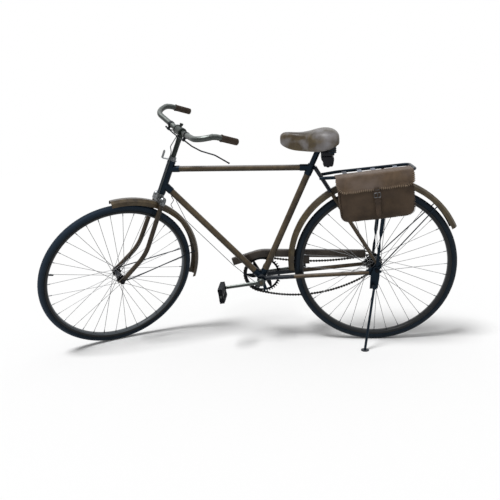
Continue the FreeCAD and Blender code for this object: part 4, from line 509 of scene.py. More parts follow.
def chain_line(lower_slack, spacing):
    """Points along the chain's loop, from the ring's top forwards and round."""
    above = crossing(bracket, ring_radius + upper_slack, rear_centre, sprocket_radius + upper_slack)
    below = crossing(bracket, lower_slack - ring_radius, rear_centre, lower_slack - sprocket_radius)
    ring_top = bracket + (above - bracket).normalized() * ring_radius
    sprocket_top = rear_centre + (above - rear_centre).normalized() * sprocket_radius
    ring_low = bracket + (bracket - below).normalized() * ring_radius
    sprocket_low = rear_centre + (rear_centre - below).normalized() * sprocket_radius
    runs = ((bracket, ring_top, ring_low, 1), (below, ring_low, sprocket_low, 1),
            (rear_centre, sprocket_low, sprocket_top, 1), (above, sprocket_top, ring_top, -1))
    line = []
    length = 0.0
    for centre, start, end, sense in runs:
        radius = (start - centre).length
        first = math.atan2(start.z - centre.z, start.x - centre.x)
        turn = (math.atan2(end.z - centre.z, end.x - centre.x) - first) * sense % math.tau * sense
        count = max(2, int(abs(turn) * radius / spacing))
        for step in range(count):
            angle = first + turn * step / count
            line.append((length + abs(turn) * radius * step / count,
                         centre + Vector((math.cos(angle), 0, math.sin(angle))) * radius))
        length += abs(turn) * radius
    line.append((length, ring_top))
    return line


slack_low, slack_high = 0.4, 4.0
for _ in range(50):
    slack = (slack_low + slack_high) / 2
    if chain_line(slack, 0.02)[-1][0] > link_count * pitch:
        slack_low = slack
    else:
        slack_high = slack
path = chain_line(slack, 0.002)


def on_path(distance):
    """Point of the chain's loop at a distance along it."""
    distance = distance % path[-1][0]
    for (before, first), (after, second) in zip(path, path[1:]):
        if after >= distance:
            return first.lerp(second, (distance - before) / max(after - before, 1e-9))
    return path[-1][1]


def link_plate(name, y, thickness):
    """Chain side plate: two round ends joined by a waist, its first pin at the origin, lying along x."""
    outline = []
    for centre, first in ((pitch, -125), (0.0, 55)):
        for step in range(9):
            angle = math.radians(first + step * 250 / 8)
            outline.append((centre + 0.0046 * math.cos(angle), 0.0046 * math.sin(angle)))
        outline.append((pitch / 2, 0.0015 if first < 0 else -0.0015))
    bpy.ops.object.select_all(action="DESELECT")
    bpy.ops.mesh.primitive_circle_add(vertices=len(outline), radius=0.01, fill_type="NGON")
    side = bpy.context.object
    side.name = name
    for vertex, (x, z) in zip(side.data.vertices, outline):
        vertex.co = (x, y, z)
    bpy.ops.object.mode_set(mode="EDIT")
    bpy.ops.mesh.select_all(action="SELECT")
    bpy.ops.mesh.extrude_region_move(TRANSFORM_OT_translate={"value": (0, thickness, 0)})
    bpy.ops.mesh.select_all(action="SELECT")
    bpy.ops.mesh.normals_make_consistent(inside=False)
    bpy.ops.object.mode_set(mode="OBJECT")
    return side


def joined(name, pieces):
    """Pieces made one mesh."""
    bpy.ops.object.select_all(action="DESELECT")
    for piece in pieces:
        piece.select_set(True)
    bpy.context.view_layer.objects.active = pieces[0]
    bpy.ops.object.join()
    pieces[0].name = name
    return pieces[0]


def across(piece, start_y):
    """Lay a bar made along z across the bicycle, from a distance to its right."""
    piece.data.transform(Matrix.Translation((0, start_y, 0)) @ Matrix.Rotation(-math.pi / 2, 4, "X"))
    return piece


gullets = [bracket + beside((tooth + 0.5) * 360 / ring_teeth) * ring_radius for tooth in range(ring_teeth)]
gullet_at = min(gullets, key=lambda spot: (spot - path[0][1]).length)
phase = min(path[:40], key=lambda item: (item[1] - gullet_at).length)[0]
link_places = {0: [], 1: []}
for number in range(link_count):
    here = on_path(phase + number * pitch)
    there = on_path(phase + (number + 1) * pitch)
    way = (there - here).normalized()
    angle = math.atan2(way.z, way.x)
    link_places[number % 2].append(Matrix.Translation(here + Vector((0, chain_y, 0))) @
                                   Matrix.Rotation(-angle, 4, "Y"))
inner_link = joined("inner_links", [link_plate("inner_plate", 0.0022, 0.0008),
                                    link_plate("inner_plate", -0.0030, 0.0008),
                                    across(round_bar("roller", 0.0037, 0.0040, 12, 0.9), -0.0020)])
pin_ends = [across(round_bar("pin", 0.0017, 0.0088, 8, 0.7), -0.0042) for _ in range(2)]
pin_ends[1].data.transform(Matrix.Translation((pitch, 0, 0)))
roller = across(round_bar("roller", 0.0037, 0.0040, 12, 0.9), -0.0020)
outer_link = joined("outer_links", [link_plate("outer_plate", 0.0031, 0.0008),
                                    link_plate("outer_plate", -0.0039, 0.0008), roller] + pin_ends)
chain_links = joined("chain_links", [repeated(inner_link, link_places[0]),
                                     repeated(outer_link, link_places[1])])
park(chain_links, upright, "frame", chain_steel)
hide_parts("chain")

# Saddle
# Thick padding under tan-olive leather with broad pale patches of painted sheen, pale and bluish on top from
# polish and a painted reflection, and a rolled lower edge. It is hollow below, where it sits over its frame
# and springs.


def leather(name, colour, shade, worn, roughness, grain, wear_from=0.55, wax=0.18, fading_and_sheen=None):
    """Old leather: creased grain, darkened patches, and pale polish with a painted sheen on what faces up.

    Broad pale patches of fading and painted sheen, where asked for, are given as (colour, scale, share of the
    surface).
    """
    hide = plain(name, Specular_IOR_Level=wax)
    tree = hide.node_tree
    shader = tree.nodes["Principled BSDF"]
    place = added(tree, "TexCoord")
    patches = added(tree, "TexNoise", Scale=16.0, Detail=10.0, Roughness=0.66, Distortion=0.6)
    patch_step = stops(added(tree, "ValToRGB"), 0.36, 0.68)
    patched = added(tree, "Mix", data_type="RGBA", A=(*shade, 1), B=(*colour, 1))
    surface = added(tree, "NewGeometry")
    facing = added(tree, "SeparateXYZ")
    # Pale tone on what faces up: polish, and a painted sheen.
    wear = added(tree, "MapRange", From_Min=wear_from, To_Max=0.75)
    polish_and_sheen_patches = added(tree, "Math", operation="MULTIPLY")
    polish_and_sheen = added(tree, "Mix", data_type="RGBA", B=(*worn, 1))
    pores = added(tree, "TexVoronoi", Scale=grain)
    creases = added(tree, "TexNoise", Scale=grain * 0.28, Detail=8.0, Distortion=1.4)
    heights = added(tree, "Math", operation="ADD")
    relief = added(tree, "Bump", Strength=0.22, Distance=0.0008)
    dulling = added(tree, "MapRange", To_Min=roughness, To_Max=roughness + 0.3)
    wired(tree, (place, "Object", patches, "Vector"), (place, "Object", pores, "Vector"),
          (place, "Object", creases, "Vector"), (patches, "Fac", patch_step, "Fac"),
          (patch_step, "Color", patched, "Factor"), (surface, "Normal", facing, "Vector"),
          (facing, "Z", wear, "Value"), (wear, "Result", polish_and_sheen_patches, 0), (patches, "Fac", polish_and_sheen_patches, 1),
          (polish_and_sheen_patches, 0, polish_and_sheen, "Factor"), (patched, "Result", polish_and_sheen, "A"),
          (polish_and_sheen, "Result", shader, "Base Color"), (pores, "Distance", heights, 0),
          (creases, "Fac", heights, 1), (heights, 0, relief, "Height"), (relief, "Normal", shader, "Normal"),
          (patches, "Fac", dulling, "Value"), (dulling, "Result", shader, "Roughness"))
    if fading_and_sheen:
        tone, scale, share = fading_and_sheen
        # Broad pale patches: faded hide on the bag, and on the saddle and flap a painted sheen.
        drifts = added(tree, "TexNoise", Scale=scale, Detail=3.0, Roughness=0.45, Distortion=0.2)
        drift_step = added(tree, "MapRange", From_Min=0.55 - 0.25 * share, From_Max=0.85 - 0.25 * share,
                           To_Max=0.80)
        drifted = added(tree, "Mix", data_type="RGBA", B=(*tone, 1))
        wired(tree, (place, "Object", drifts, "Vector"), (drifts, "Fac", drift_step, "Value"),
              (drift_step, "Result", drifted, "Factor"), (polish_and_sheen, "Result", drifted, "A"),
              (drifted, "Result", shader, "Base Color"))
    return hide


def lofted(name, rings, level):
    """Closed skin over like rings of points, capped at both ends and smoothed by subdivision."""
    bpy.ops.object.select_all(action="DESELECT")
    count = len(rings[0])
    bpy.ops.mesh.primitive_circle_add(vertices=count, radius=0.01, fill_type="NGON")
    skin = bpy.context.object
    skin.name = name
    for vertex, point in zip(skin.data.vertices, rings[0]):
        vertex.co = point
    bpy.ops.object.mode_set(mode="EDIT")
    bpy.ops.mesh.select_mode(type="FACE")
    bpy.ops.mesh.select_all(action="SELECT")
    for ring in rings[1:]:
        bpy.ops.mesh.extrude_region_move(TRANSFORM_OT_translate={"value": (0, 0, 0)})
        cage = bmesh.from_edit_mesh(skin.data)
        cage.verts.ensure_lookup_table()
        for vertex, point in zip(cage.verts[-count:], ring):
            vertex.co = point
        bmesh.update_edit_mesh(skin.data)
    bpy.ops.mesh.select_all(action="SELECT")
    bpy.ops.mesh.normals_make_consistent(inside=False)
    bpy.ops.object.mode_set(mode="OBJECT")
    if level:
        smooth = skin.modifiers.new("smooth", "SUBSURF")
        smooth.levels = level
        smooth.render_levels = level
        bpy.ops.object.modifier_apply(modifier=smooth.name)
    bpy.ops.object.shade_smooth_by_angle(angle=math.radians(50))
    return skin


# The bluish pale top and the broad pale grey patches are painted sheen and reflection over polished hide.
saddle_leather = leather("saddle_leather", (0.098, 0.074, 0.038), (0.034, 0.022, 0.010),
                         (0.116, 0.118, 0.126), 0.26, 420.0, 0.30, 0.30, ((0.240, 0.235, 0.250), 17.0, 0.40))
saddle_rows = ((-0.160, 0.014, 0.063, 0.018), (-0.155, 0.021, 0.072, 0.036), (-0.142, 0.025, 0.081, 0.056),
               (-0.110, 0.028, 0.079, 0.070), (-0.069, 0.043, 0.075, 0.069), (-0.025, 0.080, 0.080, 0.076),
               (0.010, 0.104, 0.089, 0.083), (0.045, 0.109, 0.089, 0.074), (0.071, 0.106, 0.081, 0.052),
               (0.088, 0.090, 0.067, 0.028))
saddle_rings = []
for x, half, top, depth in saddle_rows:
    low = top - depth - 0.006
    wall = min(0.009, half * 0.4)
    pan = min(0.0335, top - 0.022)
    ceiling = max(pan, low + 0.004)
    profile = [(half * 0.93, low - 0.003), (half * 1.01, low + depth * 0.10),
               (half * 1.03, low + depth * 0.42), (half * 1.00, low + depth * 0.70),
               (half * 0.86, top - depth * 0.10), (half * 0.55, top), (half * 0.20, top + 0.001)]
    under = [(half - wall, low + 0.001), (half - wall - 0.002, ceiling)]
    ring = [(-y, z) for y, z in profile] + profile[::-1] + under + [(-y, z) for y, z in under[::-1]]
    saddle_rings.append([saddle_at + Vector((x, y, z)) for y, z in ring])
saddle = lofted("padded_saddle", saddle_rings, 2)
park(saddle, upright, "frame", saddle_leather)
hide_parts("saddle_cover")

# Saddle springs
# Two coil springs of oily wire behind the seat post, one on each side, under the hollow of the saddle.
# Each is a round section turned and raised step by step.


def coil(name, radius, wire, height, turns):
    """Coil spring standing on the origin along z, its wire closed at both ends."""
    bpy.ops.object.select_all(action="DESELECT")
    bpy.ops.mesh.primitive_circle_add(vertices=8, radius=wire, fill_type="NGON", location=(radius, 0, wire),
                                      rotation=(math.pi / 2, 0, 0))
    bpy.ops.object.transform_apply(location=True, rotation=True)
    spring = bpy.context.object
    spring.name = name
    bpy.ops.object.mode_set(mode="EDIT")
    bpy.ops.mesh.select_all(action="SELECT")
    steps = 18
    rise = (height - 2 * wire) / (turns * steps)
    for _ in range(int(turns * steps)):
        bpy.ops.mesh.extrude_region_move(TRANSFORM_OT_translate={"value": (0, 0, rise)})
        bpy.ops.transform.rotate(value=-math.tau / steps, orient_axis="Z", center_override=(0, 0, 0))
    skinned(50)
    return spring


coils = []
for side in (-1, 1):
    spring = coil("saddle_coil", 0.0152, 0.0021, 0.040, 4.5)
    spring.data.transform(Matrix.Translation(saddle_at + Vector((0.0555, side * 0.066, -0.0075))))
    coils.append(spring)
park(joined("saddle_coils", coils), upright, "frame", chain_steel)

# Pannier
# Brown harness leather bag on the carrier's left rail. Its body is a sewn box grown round with use, and
# the flap is one thick hide over the top, laced along its edge with a thong.
bag_place = Matrix.Translation(Vector((0.566, -0.1063, 0.797))) @ Matrix.Rotation(math.radians(-5), 4, "Y")
bag_leather = leather("bag_leather", (0.046, 0.030, 0.017), (0.022, 0.014, 0.009), (0.085, 0.064, 0.050),
                      0.50, 520.0, fading_and_sheen=((0.080, 0.054, 0.035), 8.0, 0.6))
# The flap's broad pale patches are partly faded hide, partly painted sheen.
flap_leather = leather("flap_leather", (0.122, 0.082, 0.052), (0.058, 0.039, 0.025), (0.19, 0.155, 0.135),
                       0.46, 480.0, 0.35, fading_and_sheen=((0.165, 0.128, 0.108), 10.0, 0.45))
thong_leather = leather("thong_leather", (0.25, 0.185, 0.130), (0.13, 0.095, 0.065), (0.30, 0.25, 0.20),
                        0.55, 600.0)
strap_leather = leather("strap_leather", (0.074, 0.048, 0.031), (0.034, 0.023, 0.016), (0.13, 0.095, 0.07),
                        0.45, 600.0)
bag_levels = ((-0.009, 153, 22), (-0.010, 154, 28), (-0.016, 154, 31), (-0.050, 153, 36), (-0.090, 152, 39),
              (-0.130, 151, 39), (-0.160, 150, 37), (-0.174, 149, 35), (-0.185, 145, 32), (-0.194, 137, 27),
              (-0.1985, 127, 20), (-0.1995, 118, 10))
bag_rings = []
for z, half_mm, front_mm in bag_levels:
    half = half_mm / 1000
    front = front_mm / 1000
    back = min(0.030, front)
    corner = min(0.015, front * 0.8)
    ring = []
    for step in range(13):
        share = step / 6 - 1
        swell = 1 - share ** 2
        ring.append(((half - corner) * share, -(front - 0.006 + 0.006 * swell)))
    ring.append((half - corner * 0.3, -(front - corner * 0.45)))
    ring.append((half, -(front - corner * 1.3) if front > corner * 1.3 else 0.0))
    ring.append((half, back - corner * 0.6))
    ring.append((half - corner * 0.4, back))
    for step in range(9):
        ring.append(((half - corner) * (1 - step / 4), back))
    ring.append((-(half - corner * 0.4), back))
    ring.append((-half, back - corner * 0.6))
    ring.append((-half, -(front - corner * 1.3) if front > corner * 1.3 else 0.0))
    ring.append((-(half - corner * 0.3), -(front - corner * 0.45)))
    bag_rings.append([Vector((x, y, z)) for x, y in ring])
bag = lofted("leather_bag", bag_rings, 3)
for vertex in bag.data.vertices:
    slow = noise.noise(Vector((vertex.co.x * 14, vertex.co.y * 14, vertex.co.z * 20 + 3.0)))
    fine = noise.noise(Vector((vertex.co.x * 45, vertex.co.y * 30, vertex.co.z * 60 + 9.0)))
    free = max(0.0, min(1.0, -vertex.co.z / 0.05))
    vertex.co += vertex.normal * (0.0026 * slow + 0.0008 * fine) * free
    vertex.co.y = min(vertex.co.y, 0.0310)
    vertex.co.x = max(-0.154, min(0.154, vertex.co.x))
bag.data.transform(bag_place)
park(bag, upright, "frame", bag_leather)
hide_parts("pannier_body")


flap_left = -0.1555
flap_right = 0.1515
left_corner = 0.036
right_corner = 0.030
flap_straight = flap_right - flap_left - left_corner - right_corner
flap_front = -0.0375


def flap_edge(x):
    """Height of the flap's lower edge at a place along the bag: two round corners and a slight wave."""
    if x < flap_left + left_corner:
        share = min(1.0, (flap_left + left_corner - x) / left_corner)
        return -0.0715 + 0.042 * (1 - math.sqrt(1 - share ** 2))
    if x > flap_right - right_corner:
        share = min(1.0, (x - flap_right + right_corner) / right_corner)
        return -0.068 + 0.022 * (1 - math.sqrt(1 - share ** 2))
    slope = 0.0035 * (x - flap_left - left_corner) / flap_straight
    return -0.0715 + slope + 0.0012 * math.sin(x * 95)


def flap_point(x, share):
    """Point of the flap's outer face: from the bag's back edge over its top and down its front."""
    bend = 0.008
    top = -0.0035 + 0.0020 * (1 - (x / 0.156) ** 2)
    back = 0.033
    flat = back - (flap_front + bend)
    turn = bend * math.pi / 2
    drop = top - bend - flap_edge(x)
    along = share * (flat + turn + drop)
    if along < flat:
        return Vector((x, back - along, top))
    if along < flat + turn:
        angle = (along - flat) / bend
        return Vector((x, flap_front + bend - bend * math.sin(angle), top - bend + bend * math.cos(angle)))
    down = along - flat - turn
    billow = 0.0045 * math.sin(math.pi * min(1.0, down / max(drop, 1e-6)) * 0.75)
    return Vector((x, flap_front - billow, top - bend - down))


flap_rows = 24
columns = [flap_left + left_corner * (1 - math.cos(math.pi / 2 * step / 10)) for step in range(11)]
columns += [flap_left + left_corner + flap_straight * step / 28 for step in range(1, 28)]
columns += [flap_right - right_corner * (1 - math.sin(math.pi / 2 * step / 9)) for step in range(10)]
bpy.ops.object.select_all(action="DESELECT")
bpy.ops.mesh.primitive_grid_add(x_subdivisions=len(columns) - 1, y_subdivisions=flap_rows, size=0.1)
flap = bpy.context.object
flap.name = "leather_flap"
for number, vertex in enumerate(flap.data.vertices):
    vertex.co = flap_point(columns[number % len(columns)], 1 - number // len(columns) / flap_rows)
    slow = noise.noise(Vector((vertex.co.x * 16, vertex.co.z * 16, 5.0)))
    free = max(0.0, min(1.0, -vertex.co.z / 0.05))
    vertex.co.y -= 0.0022 * slow * free
    vertex.co.z += 0.0010 * noise.noise(Vector((vertex.co.x * 22, vertex.co.y * 22, 1.0)))
hide = flap.modifiers.new("hide", "SOLIDIFY")
hide.thickness = 0.0036
hide.offset = -1.0
rounding = flap.modifiers.new("rounding", "BEVEL")
rounding.width = 0.0011
rounding.segments = 2
rounding.limit_method = "ANGLE"
rounding.angle_limit = math.radians(50)
bpy.ops.object.modifier_apply(modifier=hide.name)
bpy.ops.object.modifier_apply(modifier=rounding.name)
bpy.ops.object.mode_set(mode="EDIT")
skinned(50)
flap.data.transform(bag_place)
park(flap, upright, "frame", flap_leather)
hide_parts("pannier_flap")

# Thong along the flap
# Pale rawhide stitches wound over the flap's edge, down both ends and along the wavy front. One stretched
# bead is copied to even steps of the edge.


def bead(name, radius, stretch):
    """One stitch: a small sphere stretched along z."""
    bpy.ops.object.select_all(action="DESELECT")
    bpy.ops.mesh.primitive_uv_sphere_add(segments=8, ring_count=6, radius=radius)
    stitch = bpy.context.object
    stitch.name = name
    bpy.ops.object.mode_set(mode="EDIT")
    bpy.ops.mesh.select_all(action="SELECT")
    bpy.ops.transform.resize(value=stretch)
    bpy.ops.object.mode_set(mode="OBJECT")
    bpy.ops.object.shade_smooth_by_angle(angle=math.radians(60))
    return stitch


def spaced(line, spacing):
    """Points of a line about a spacing apart, each with the direction across the line in its plane."""
    spots = []
    walked = 0.0
    for first, second in zip(line, line[1:]):
        step = (second - first).length
        if walked + step > spacing:
            way = (second - first).normalized()
            spots.append((first, Vector((-way.z, 0, way.x))))
            walked = 0.0
        walked += step
    return spots


def stitched(place, across_line):
    """Matrix that lays a stitch across a line."""
    turn = Vector((0, 0, 1)).rotation_difference(across_line)
    return Matrix.Translation(place) @ turn.to_matrix().to_4x4()


edge_line = [Vector((flap_left, 0, -0.012 - 0.002 * step)) for step in range(10)]
edge_line += [Vector((x, 0, flap_edge(x)))
              for x in [flap_left + (flap_right - flap_left) * step / 600 for step in range(601)]]
edge_line += [Vector((flap_right, 0, -0.046 + 0.002 * step)) for step in range(18)]
thong_places = []
for first, inwards in spaced(edge_line, 0.0082):
    spot = first + inwards * 0.0022
    bulge = 0.003 * min(1.0, max(0.0, -spot.z) / 0.06)
    thong_places.append(stitched(Vector((spot.x, flap_front - 0.0022 - bulge, spot.z)), inwards))
thong = repeated(bead("flap_thong", 0.0022, (1.0, 0.75, 2.6)), thong_places)
thong.data.transform(bag_place)
park(thong, upright, "frame", thong_leather)

# Bag seam
# The body's front panel is whipped to its sides and foot with a darker thong, oiled by use. The line runs
# down the left side, round both lower corners and up the right side.
seam_line = [Vector((-0.1475, 0, -0.060 - 0.004 * step)) for step in range(27)]
seam_line += [Vector((-0.1475 + 0.030 * (1 - math.cos(angle)), 0, -0.166 - 0.028 * math.sin(angle)))
              for angle in [math.pi / 2 * step / 8 for step in range(9)]]
seam_line += [Vector((-0.117 + 0.234 * step / 60, 0, -0.1945)) for step in range(61)]
seam_line += [Vector((0.1475 - 0.030 * (1 - math.sin(angle)), 0, -0.166 - 0.028 * math.cos(angle)))
              for angle in [math.pi / 2 * step / 8 for step in range(9)]]
seam_line += [Vector((0.1475, 0, -0.164 + 0.004 * step)) for step in range(26)]
seam_places = []
for first, inwards in spaced(seam_line, 0.0080):
    low = max(0.0, (-first.z - 0.160) / 0.035)
    seam_places.append(stitched(first + Vector((0, -0.0285 + 0.010 * low, 0)), inwards))
seam = repeated(bead("bag_seam", 0.0018, (1.0, 1.2, 2.3)), seam_places)
seam.data.transform(bag_place)
park(seam, upright, "frame", strap_leather)

# Pannier strap
# A narrow strap riveted to the flap and buckled below it, with a keeper. Its free end hangs over the bag,
# over a second strip that lies on the bag.


def band(name, line, width, thickness, side=Vector((1, 0, 0)), pointed=False):
    """Flat strap swept along a line, its edges rounded and its end drawn in where it is pointed."""
    bpy.ops.object.select_all(action="DESELECT")
    bpy.ops.mesh.primitive_grid_add(x_subdivisions=4, y_subdivisions=len(line) - 1, size=0.1)
    ribbon = bpy.context.object
    ribbon.name = name
    for number, vertex in enumerate(ribbon.data.vertices):
        drawn_in = min(1.0, 0.45 + 0.275 * (len(line) - 1 - number // 5)) if pointed else 1.0
        vertex.co = line[number // 5] + side * width * drawn_in * (number % 5 / 4 - 0.5)
    solid = ribbon.modifiers.new("solid", "SOLIDIFY")
    solid.thickness = thickness
    solid.offset = 0.0
    rounding = ribbon.modifiers.new("rounding", "BEVEL")
    rounding.width = thickness * 0.3
    rounding.segments = 2
    rounding.limit_method = "ANGLE"
    bpy.ops.object.modifier_apply(modifier=solid.name)
    bpy.ops.object.modifier_apply(modifier=rounding.name)
    bpy.ops.object.mode_set(mode="EDIT")
    skinned(50)
    return ribbon


strap_x = 0.001
strap_line = [Vector((strap_x, y, z)) for y, z in
              ((-0.0462, -0.062), (-0.0464, -0.072), (-0.0440, -0.082), (-0.0462, -0.092), (-0.0482, -0.103),
               (-0.0482, -0.115), (-0.0474, -0.130), (-0.0470, -0.146), (-0.0464, -0.160), (-0.0458, -0.170),
               (-0.0452, -0.176), (-0.0448, -0.181))]
strap = band("bag_strap", strap_line, 0.0205, 0.0030, pointed=True)
lower_line = [Vector((strap_x, y, z)) for y, z in
              ((-0.0405, -0.096), (-0.0418, -0.110), (-0.0424, -0.130), (-0.0420, -0.150), (-0.0405, -0.172))]
under = band("strap_under", lower_line, 0.0205, 0.0026)
keeper_line = [Vector((strap_x + x, y, -0.116)) for x, y in
               ((-0.0118, -0.043), (-0.0121, -0.0485), (-0.0105, -0.0505), (0.0, -0.0512), (0.0105, -0.0505),
                (0.0121, -0.0485), (0.0118, -0.043))]
keeper = band("strap_keeper", keeper_line, 0.009, 0.0018, Vector((0, 0, 1)))
straps = joined("pannier_straps", [strap, under, keeper])
straps.data.transform(bag_place)
park(straps, upright, "frame", strap_leather)
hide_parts("pannier_strap")


def wire_loop(name, corners, radius, rounding):
    """Closed wire bent through the corners, as for a buckle or a ring."""
    bpy.ops.object.select_all(action="DESELECT")
    bpy.ops.curve.primitive_bezier_circle_add(radius=0.01)
    bent = bpy.context.object
    bent.name = name
    bent.data.splines.clear()
    spline = bent.data.splines.new("POLY")
    points = []
    count = len(corners)
    for number, corner in enumerate(corners):
        before = (corners[number - 1] - corner).normalized()
        after = (corners[(number + 1) % count] - corner).normalized()
        for step in range(5):
            share = step / 4
            edge = (corner + before * rounding).lerp(corner + after * rounding, share)
            points.append(edge.lerp(corner, 2 * share * (1 - share)))
    spline.points.add(len(points) - 1)
    for point, place in zip(spline.points, points):
        point.co = (*place, 1)
    spline.use_cyclic_u = True
    bent.data.dimensions = "3D"
    bent.data.bevel_depth = radius
    bent.data.bevel_resolution = 2
    bpy.ops.object.convert(target="MESH")
    bpy.ops.object.shade_smooth_by_angle(angle=math.radians(60))
    return bpy.context.object


buckle_corners = [Vector((strap_x + x, -0.0500, z)) for x, z in
                  ((-0.0128, -0.081), (0.0128, -0.081), (0.0128, -0.100), (-0.0128, -0.100))]
buckle = wire_loop("bag_buckle", buckle_corners, 0.0015, 0.0025)
tongue = round_bar("buckle_tongue", 0.0013, 0.020, 8, 0.5)
tongue.data.transform(Matrix.Translation(Vector((strap_x, -0.0515, -0.101))))
rivet_places = [Matrix.Translation(Vector((strap_x + x, -0.0472, z))) @ Matrix.Rotation(math.pi / 2, 4, "X")
                for x, z in ((-0.007, -0.068), (0.0, -0.070), (0.007, -0.068))]
rivets = repeated(round_bar("strap_rivets", 0.0021, 0.0014, 10, 0.6), rivet_places)
buckle = joined("bag_buckle", [buckle, tongue, rivets])
buckle.data.transform(bag_place)
park(buckle, upright, "frame", bare_steel)

# Tool pouch
# Black leather pouch hung under the back of the saddle: an upper tier over a narrower pocket, both creased,
# with a stud below.
pouch_leather = leather("pouch_leather", (0.014, 0.015, 0.019), (0.007, 0.007, 0.010), (0.045, 0.046, 0.052),
                        0.42, 560.0)
pouch_at = saddle_at + Vector((0.0105, 0, -0.0012))


def pouch_part(name, levels, half_y):
    """Soft pocket from rows of (drop, front x, back x, squeeze from the sides)."""
    rings = []
    for drop, front, back, squeeze in levels:
        wide = half_y - squeeze
        middle = (front + back) / 2
        deep = (back - front) / 2
        ring = []
        for angle in [math.tau * step / 20 for step in range(20)]:
            x = math.copysign(abs(math.cos(angle)) ** 0.34, math.cos(angle))
            y = math.copysign(abs(math.sin(angle)) ** 0.30, math.sin(angle))
            ring.append(pouch_at + Vector((middle + deep * x, wide * y, -drop)))
        rings.append(ring)
    pocket = lofted(name, rings, 2)
    for vertex in pocket.data.vertices:
        ridge = math.sin((vertex.co.x - pouch_at.x) * 620)
        vertex.co += vertex.normal * (0.0006 * ridge + 0.0012 * noise.noise(vertex.co * 55))
    return pocket


upper = pouch_part("pouch_top", ((0.001, 0.004, 0.052, 0.006), (0.003, 0.001, 0.056, 0.001),
                                 (0.012, 0.001, 0.057, 0.000), (0.0215, 0.001, 0.057, 0.000),
                                 (0.0235, 0.004, 0.051, 0.005)), 0.048)
lower = pouch_part("pouch_pocket", ((0.0215, 0.004, 0.044, 0.006), (0.0255, 0.002, 0.047, 0.002),
                                    (0.0290, 0.001, 0.055, 0.001), (0.044, 0.002, 0.055, 0.001),
                                    (0.048, 0.008, 0.053, 0.002), (0.066, 0.009, 0.051, 0.003),
                                    (0.0695, 0.013, 0.048, 0.008)), 0.047)
stud = round_bar("pouch_stud", 0.0055, 0.008, 12, 0.7)
stud.data.transform(Matrix.Translation(pouch_at + Vector((0.030, 0.0, -0.0765))))
pouch = joined("leather_pouch", [upper, lower, stud])
park(pouch, upright, "frame", pouch_leather)
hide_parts("tool_pouch")

# Grips
# Moulded brown rubber grips, ribbed round, with a flange at the front and a domed end, pushed over the
# bar's tube.
grip_rubber = rubber("grip_rubber", (0.036, 0.025, 0.018), (0.060, 0.048, 0.040), 0.62, 900.0)
bar_centre = Vector((-0.2398, 0, 0.9895))


def lathed(name, profile, steps=28):
    """Solid turned about z from (radius, height) pairs that start and end on the axis."""
    bpy.ops.object.select_all(action="DESELECT")
    bpy.ops.mesh.primitive_grid_add(x_subdivisions=1, y_subdivisions=len(profile) - 1, size=0.1)
    solid = bpy.context.object
    solid.name = name
    bpy.ops.object.mode_set(mode="EDIT")
    cage = bmesh.from_edit_mesh(solid.data)
    cage.verts.ensure_lookup_table()
    bmesh.ops.delete(cage, geom=[vertex for vertex in cage.verts if vertex.co.x > 0], context="VERTS")
    for vertex, (radius, height) in zip(sorted(cage.verts, key=lambda v: v.co.y), profile):
        vertex.co = (radius, 0, height)
    bmesh.update_edit_mesh(solid.data)
    turned(steps, (0, 0, 1))
    skinned(45)
    return solid


for side, name in ((-1, "left"), (1, "right")):
    front = bar_centre + Vector((0.048, side * 0.238, 0.041))
    end = bar_centre + Vector((0.152, side * 0.238, -0.002))
    way = (end - front).normalized()
    foot = end - way * 0.0798
    profile = [(0.0, 0.0), (0.0120, 0.0), (0.0148, 0.0005), (0.0156, 0.002), (0.0156, 0.0045),
               (0.0144, 0.006)]
    for rib in range(8):
        start = 0.0085 + rib * 0.0082
        profile += [(0.0134, start), (0.0141, start + 0.0014), (0.0143, start + 0.0041),
                    (0.0141, start + 0.0066)]
    profile += [(0.0140, 0.0758), (0.0138, 0.0786), (0.0122, 0.0808), (0.0070, 0.0818), (0.0, 0.0818)]
    grip = lathed(name + "_grip", profile)
    grip.data.transform(pointing(foot, way))
    park(grip, steered, "steering", grip_rubber)
    if side < 0:
        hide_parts("grips")

# Pedal rubbers
# Four black rubber blocks, two to a pedal, rounded at their edges. Raised bands ribbed across their long
# faces give the foot a hold.
pedal_rubber = rubber("pedal_rubber", (0.017, 0.019, 0.023), (0.060, 0.062, 0.066), 0.55, 600.0)
ribbed_half = 0.0385
band_step = 0.007


def pedal_block(name):
    """One ribbed block, lying along y."""
    bpy.ops.object.select_all(action="DESELECT")
    bpy.ops.mesh.primitive_cube_add(size=1)
    rubber_block = bpy.context.object
    rubber_block.name = name
    bpy.ops.object.mode_set(mode="EDIT")
    bpy.ops.mesh.select_all(action="SELECT")
    bpy.ops.transform.resize(value=(0.0195, 0.0845, 0.0225))
    bpy.ops.mesh.bevel(offset=0.0055, segments=4, affect="EDGES")
    for number in range(12):
        bpy.ops.mesh.select_all(action="SELECT")
        bpy.ops.mesh.bisect(plane_co=(0, number * band_step - ribbed_half, 0), plane_no=(0, 1, 0))
    cage = bmesh.from_edit_mesh(rubber_block.data)
    for face in cage.faces:
        y = face.calc_center_median().y
        face.select_set(abs(face.normal.y) < 0.2 and abs(y) < ribbed_half
                        and int((y + ribbed_half) / band_step) % 2 == 0)
    bmesh.update_edit_mesh(rubber_block.data)
    bpy.ops.mesh.select_mode(type="FACE")
    bpy.ops.mesh.inset(thickness=0.0008, use_individual=False)
    bpy.ops.transform.resize(value=(1.13, 1.0, 1.13), center_override=(0, 0, 0))
    skinned(40)
    return rubber_block


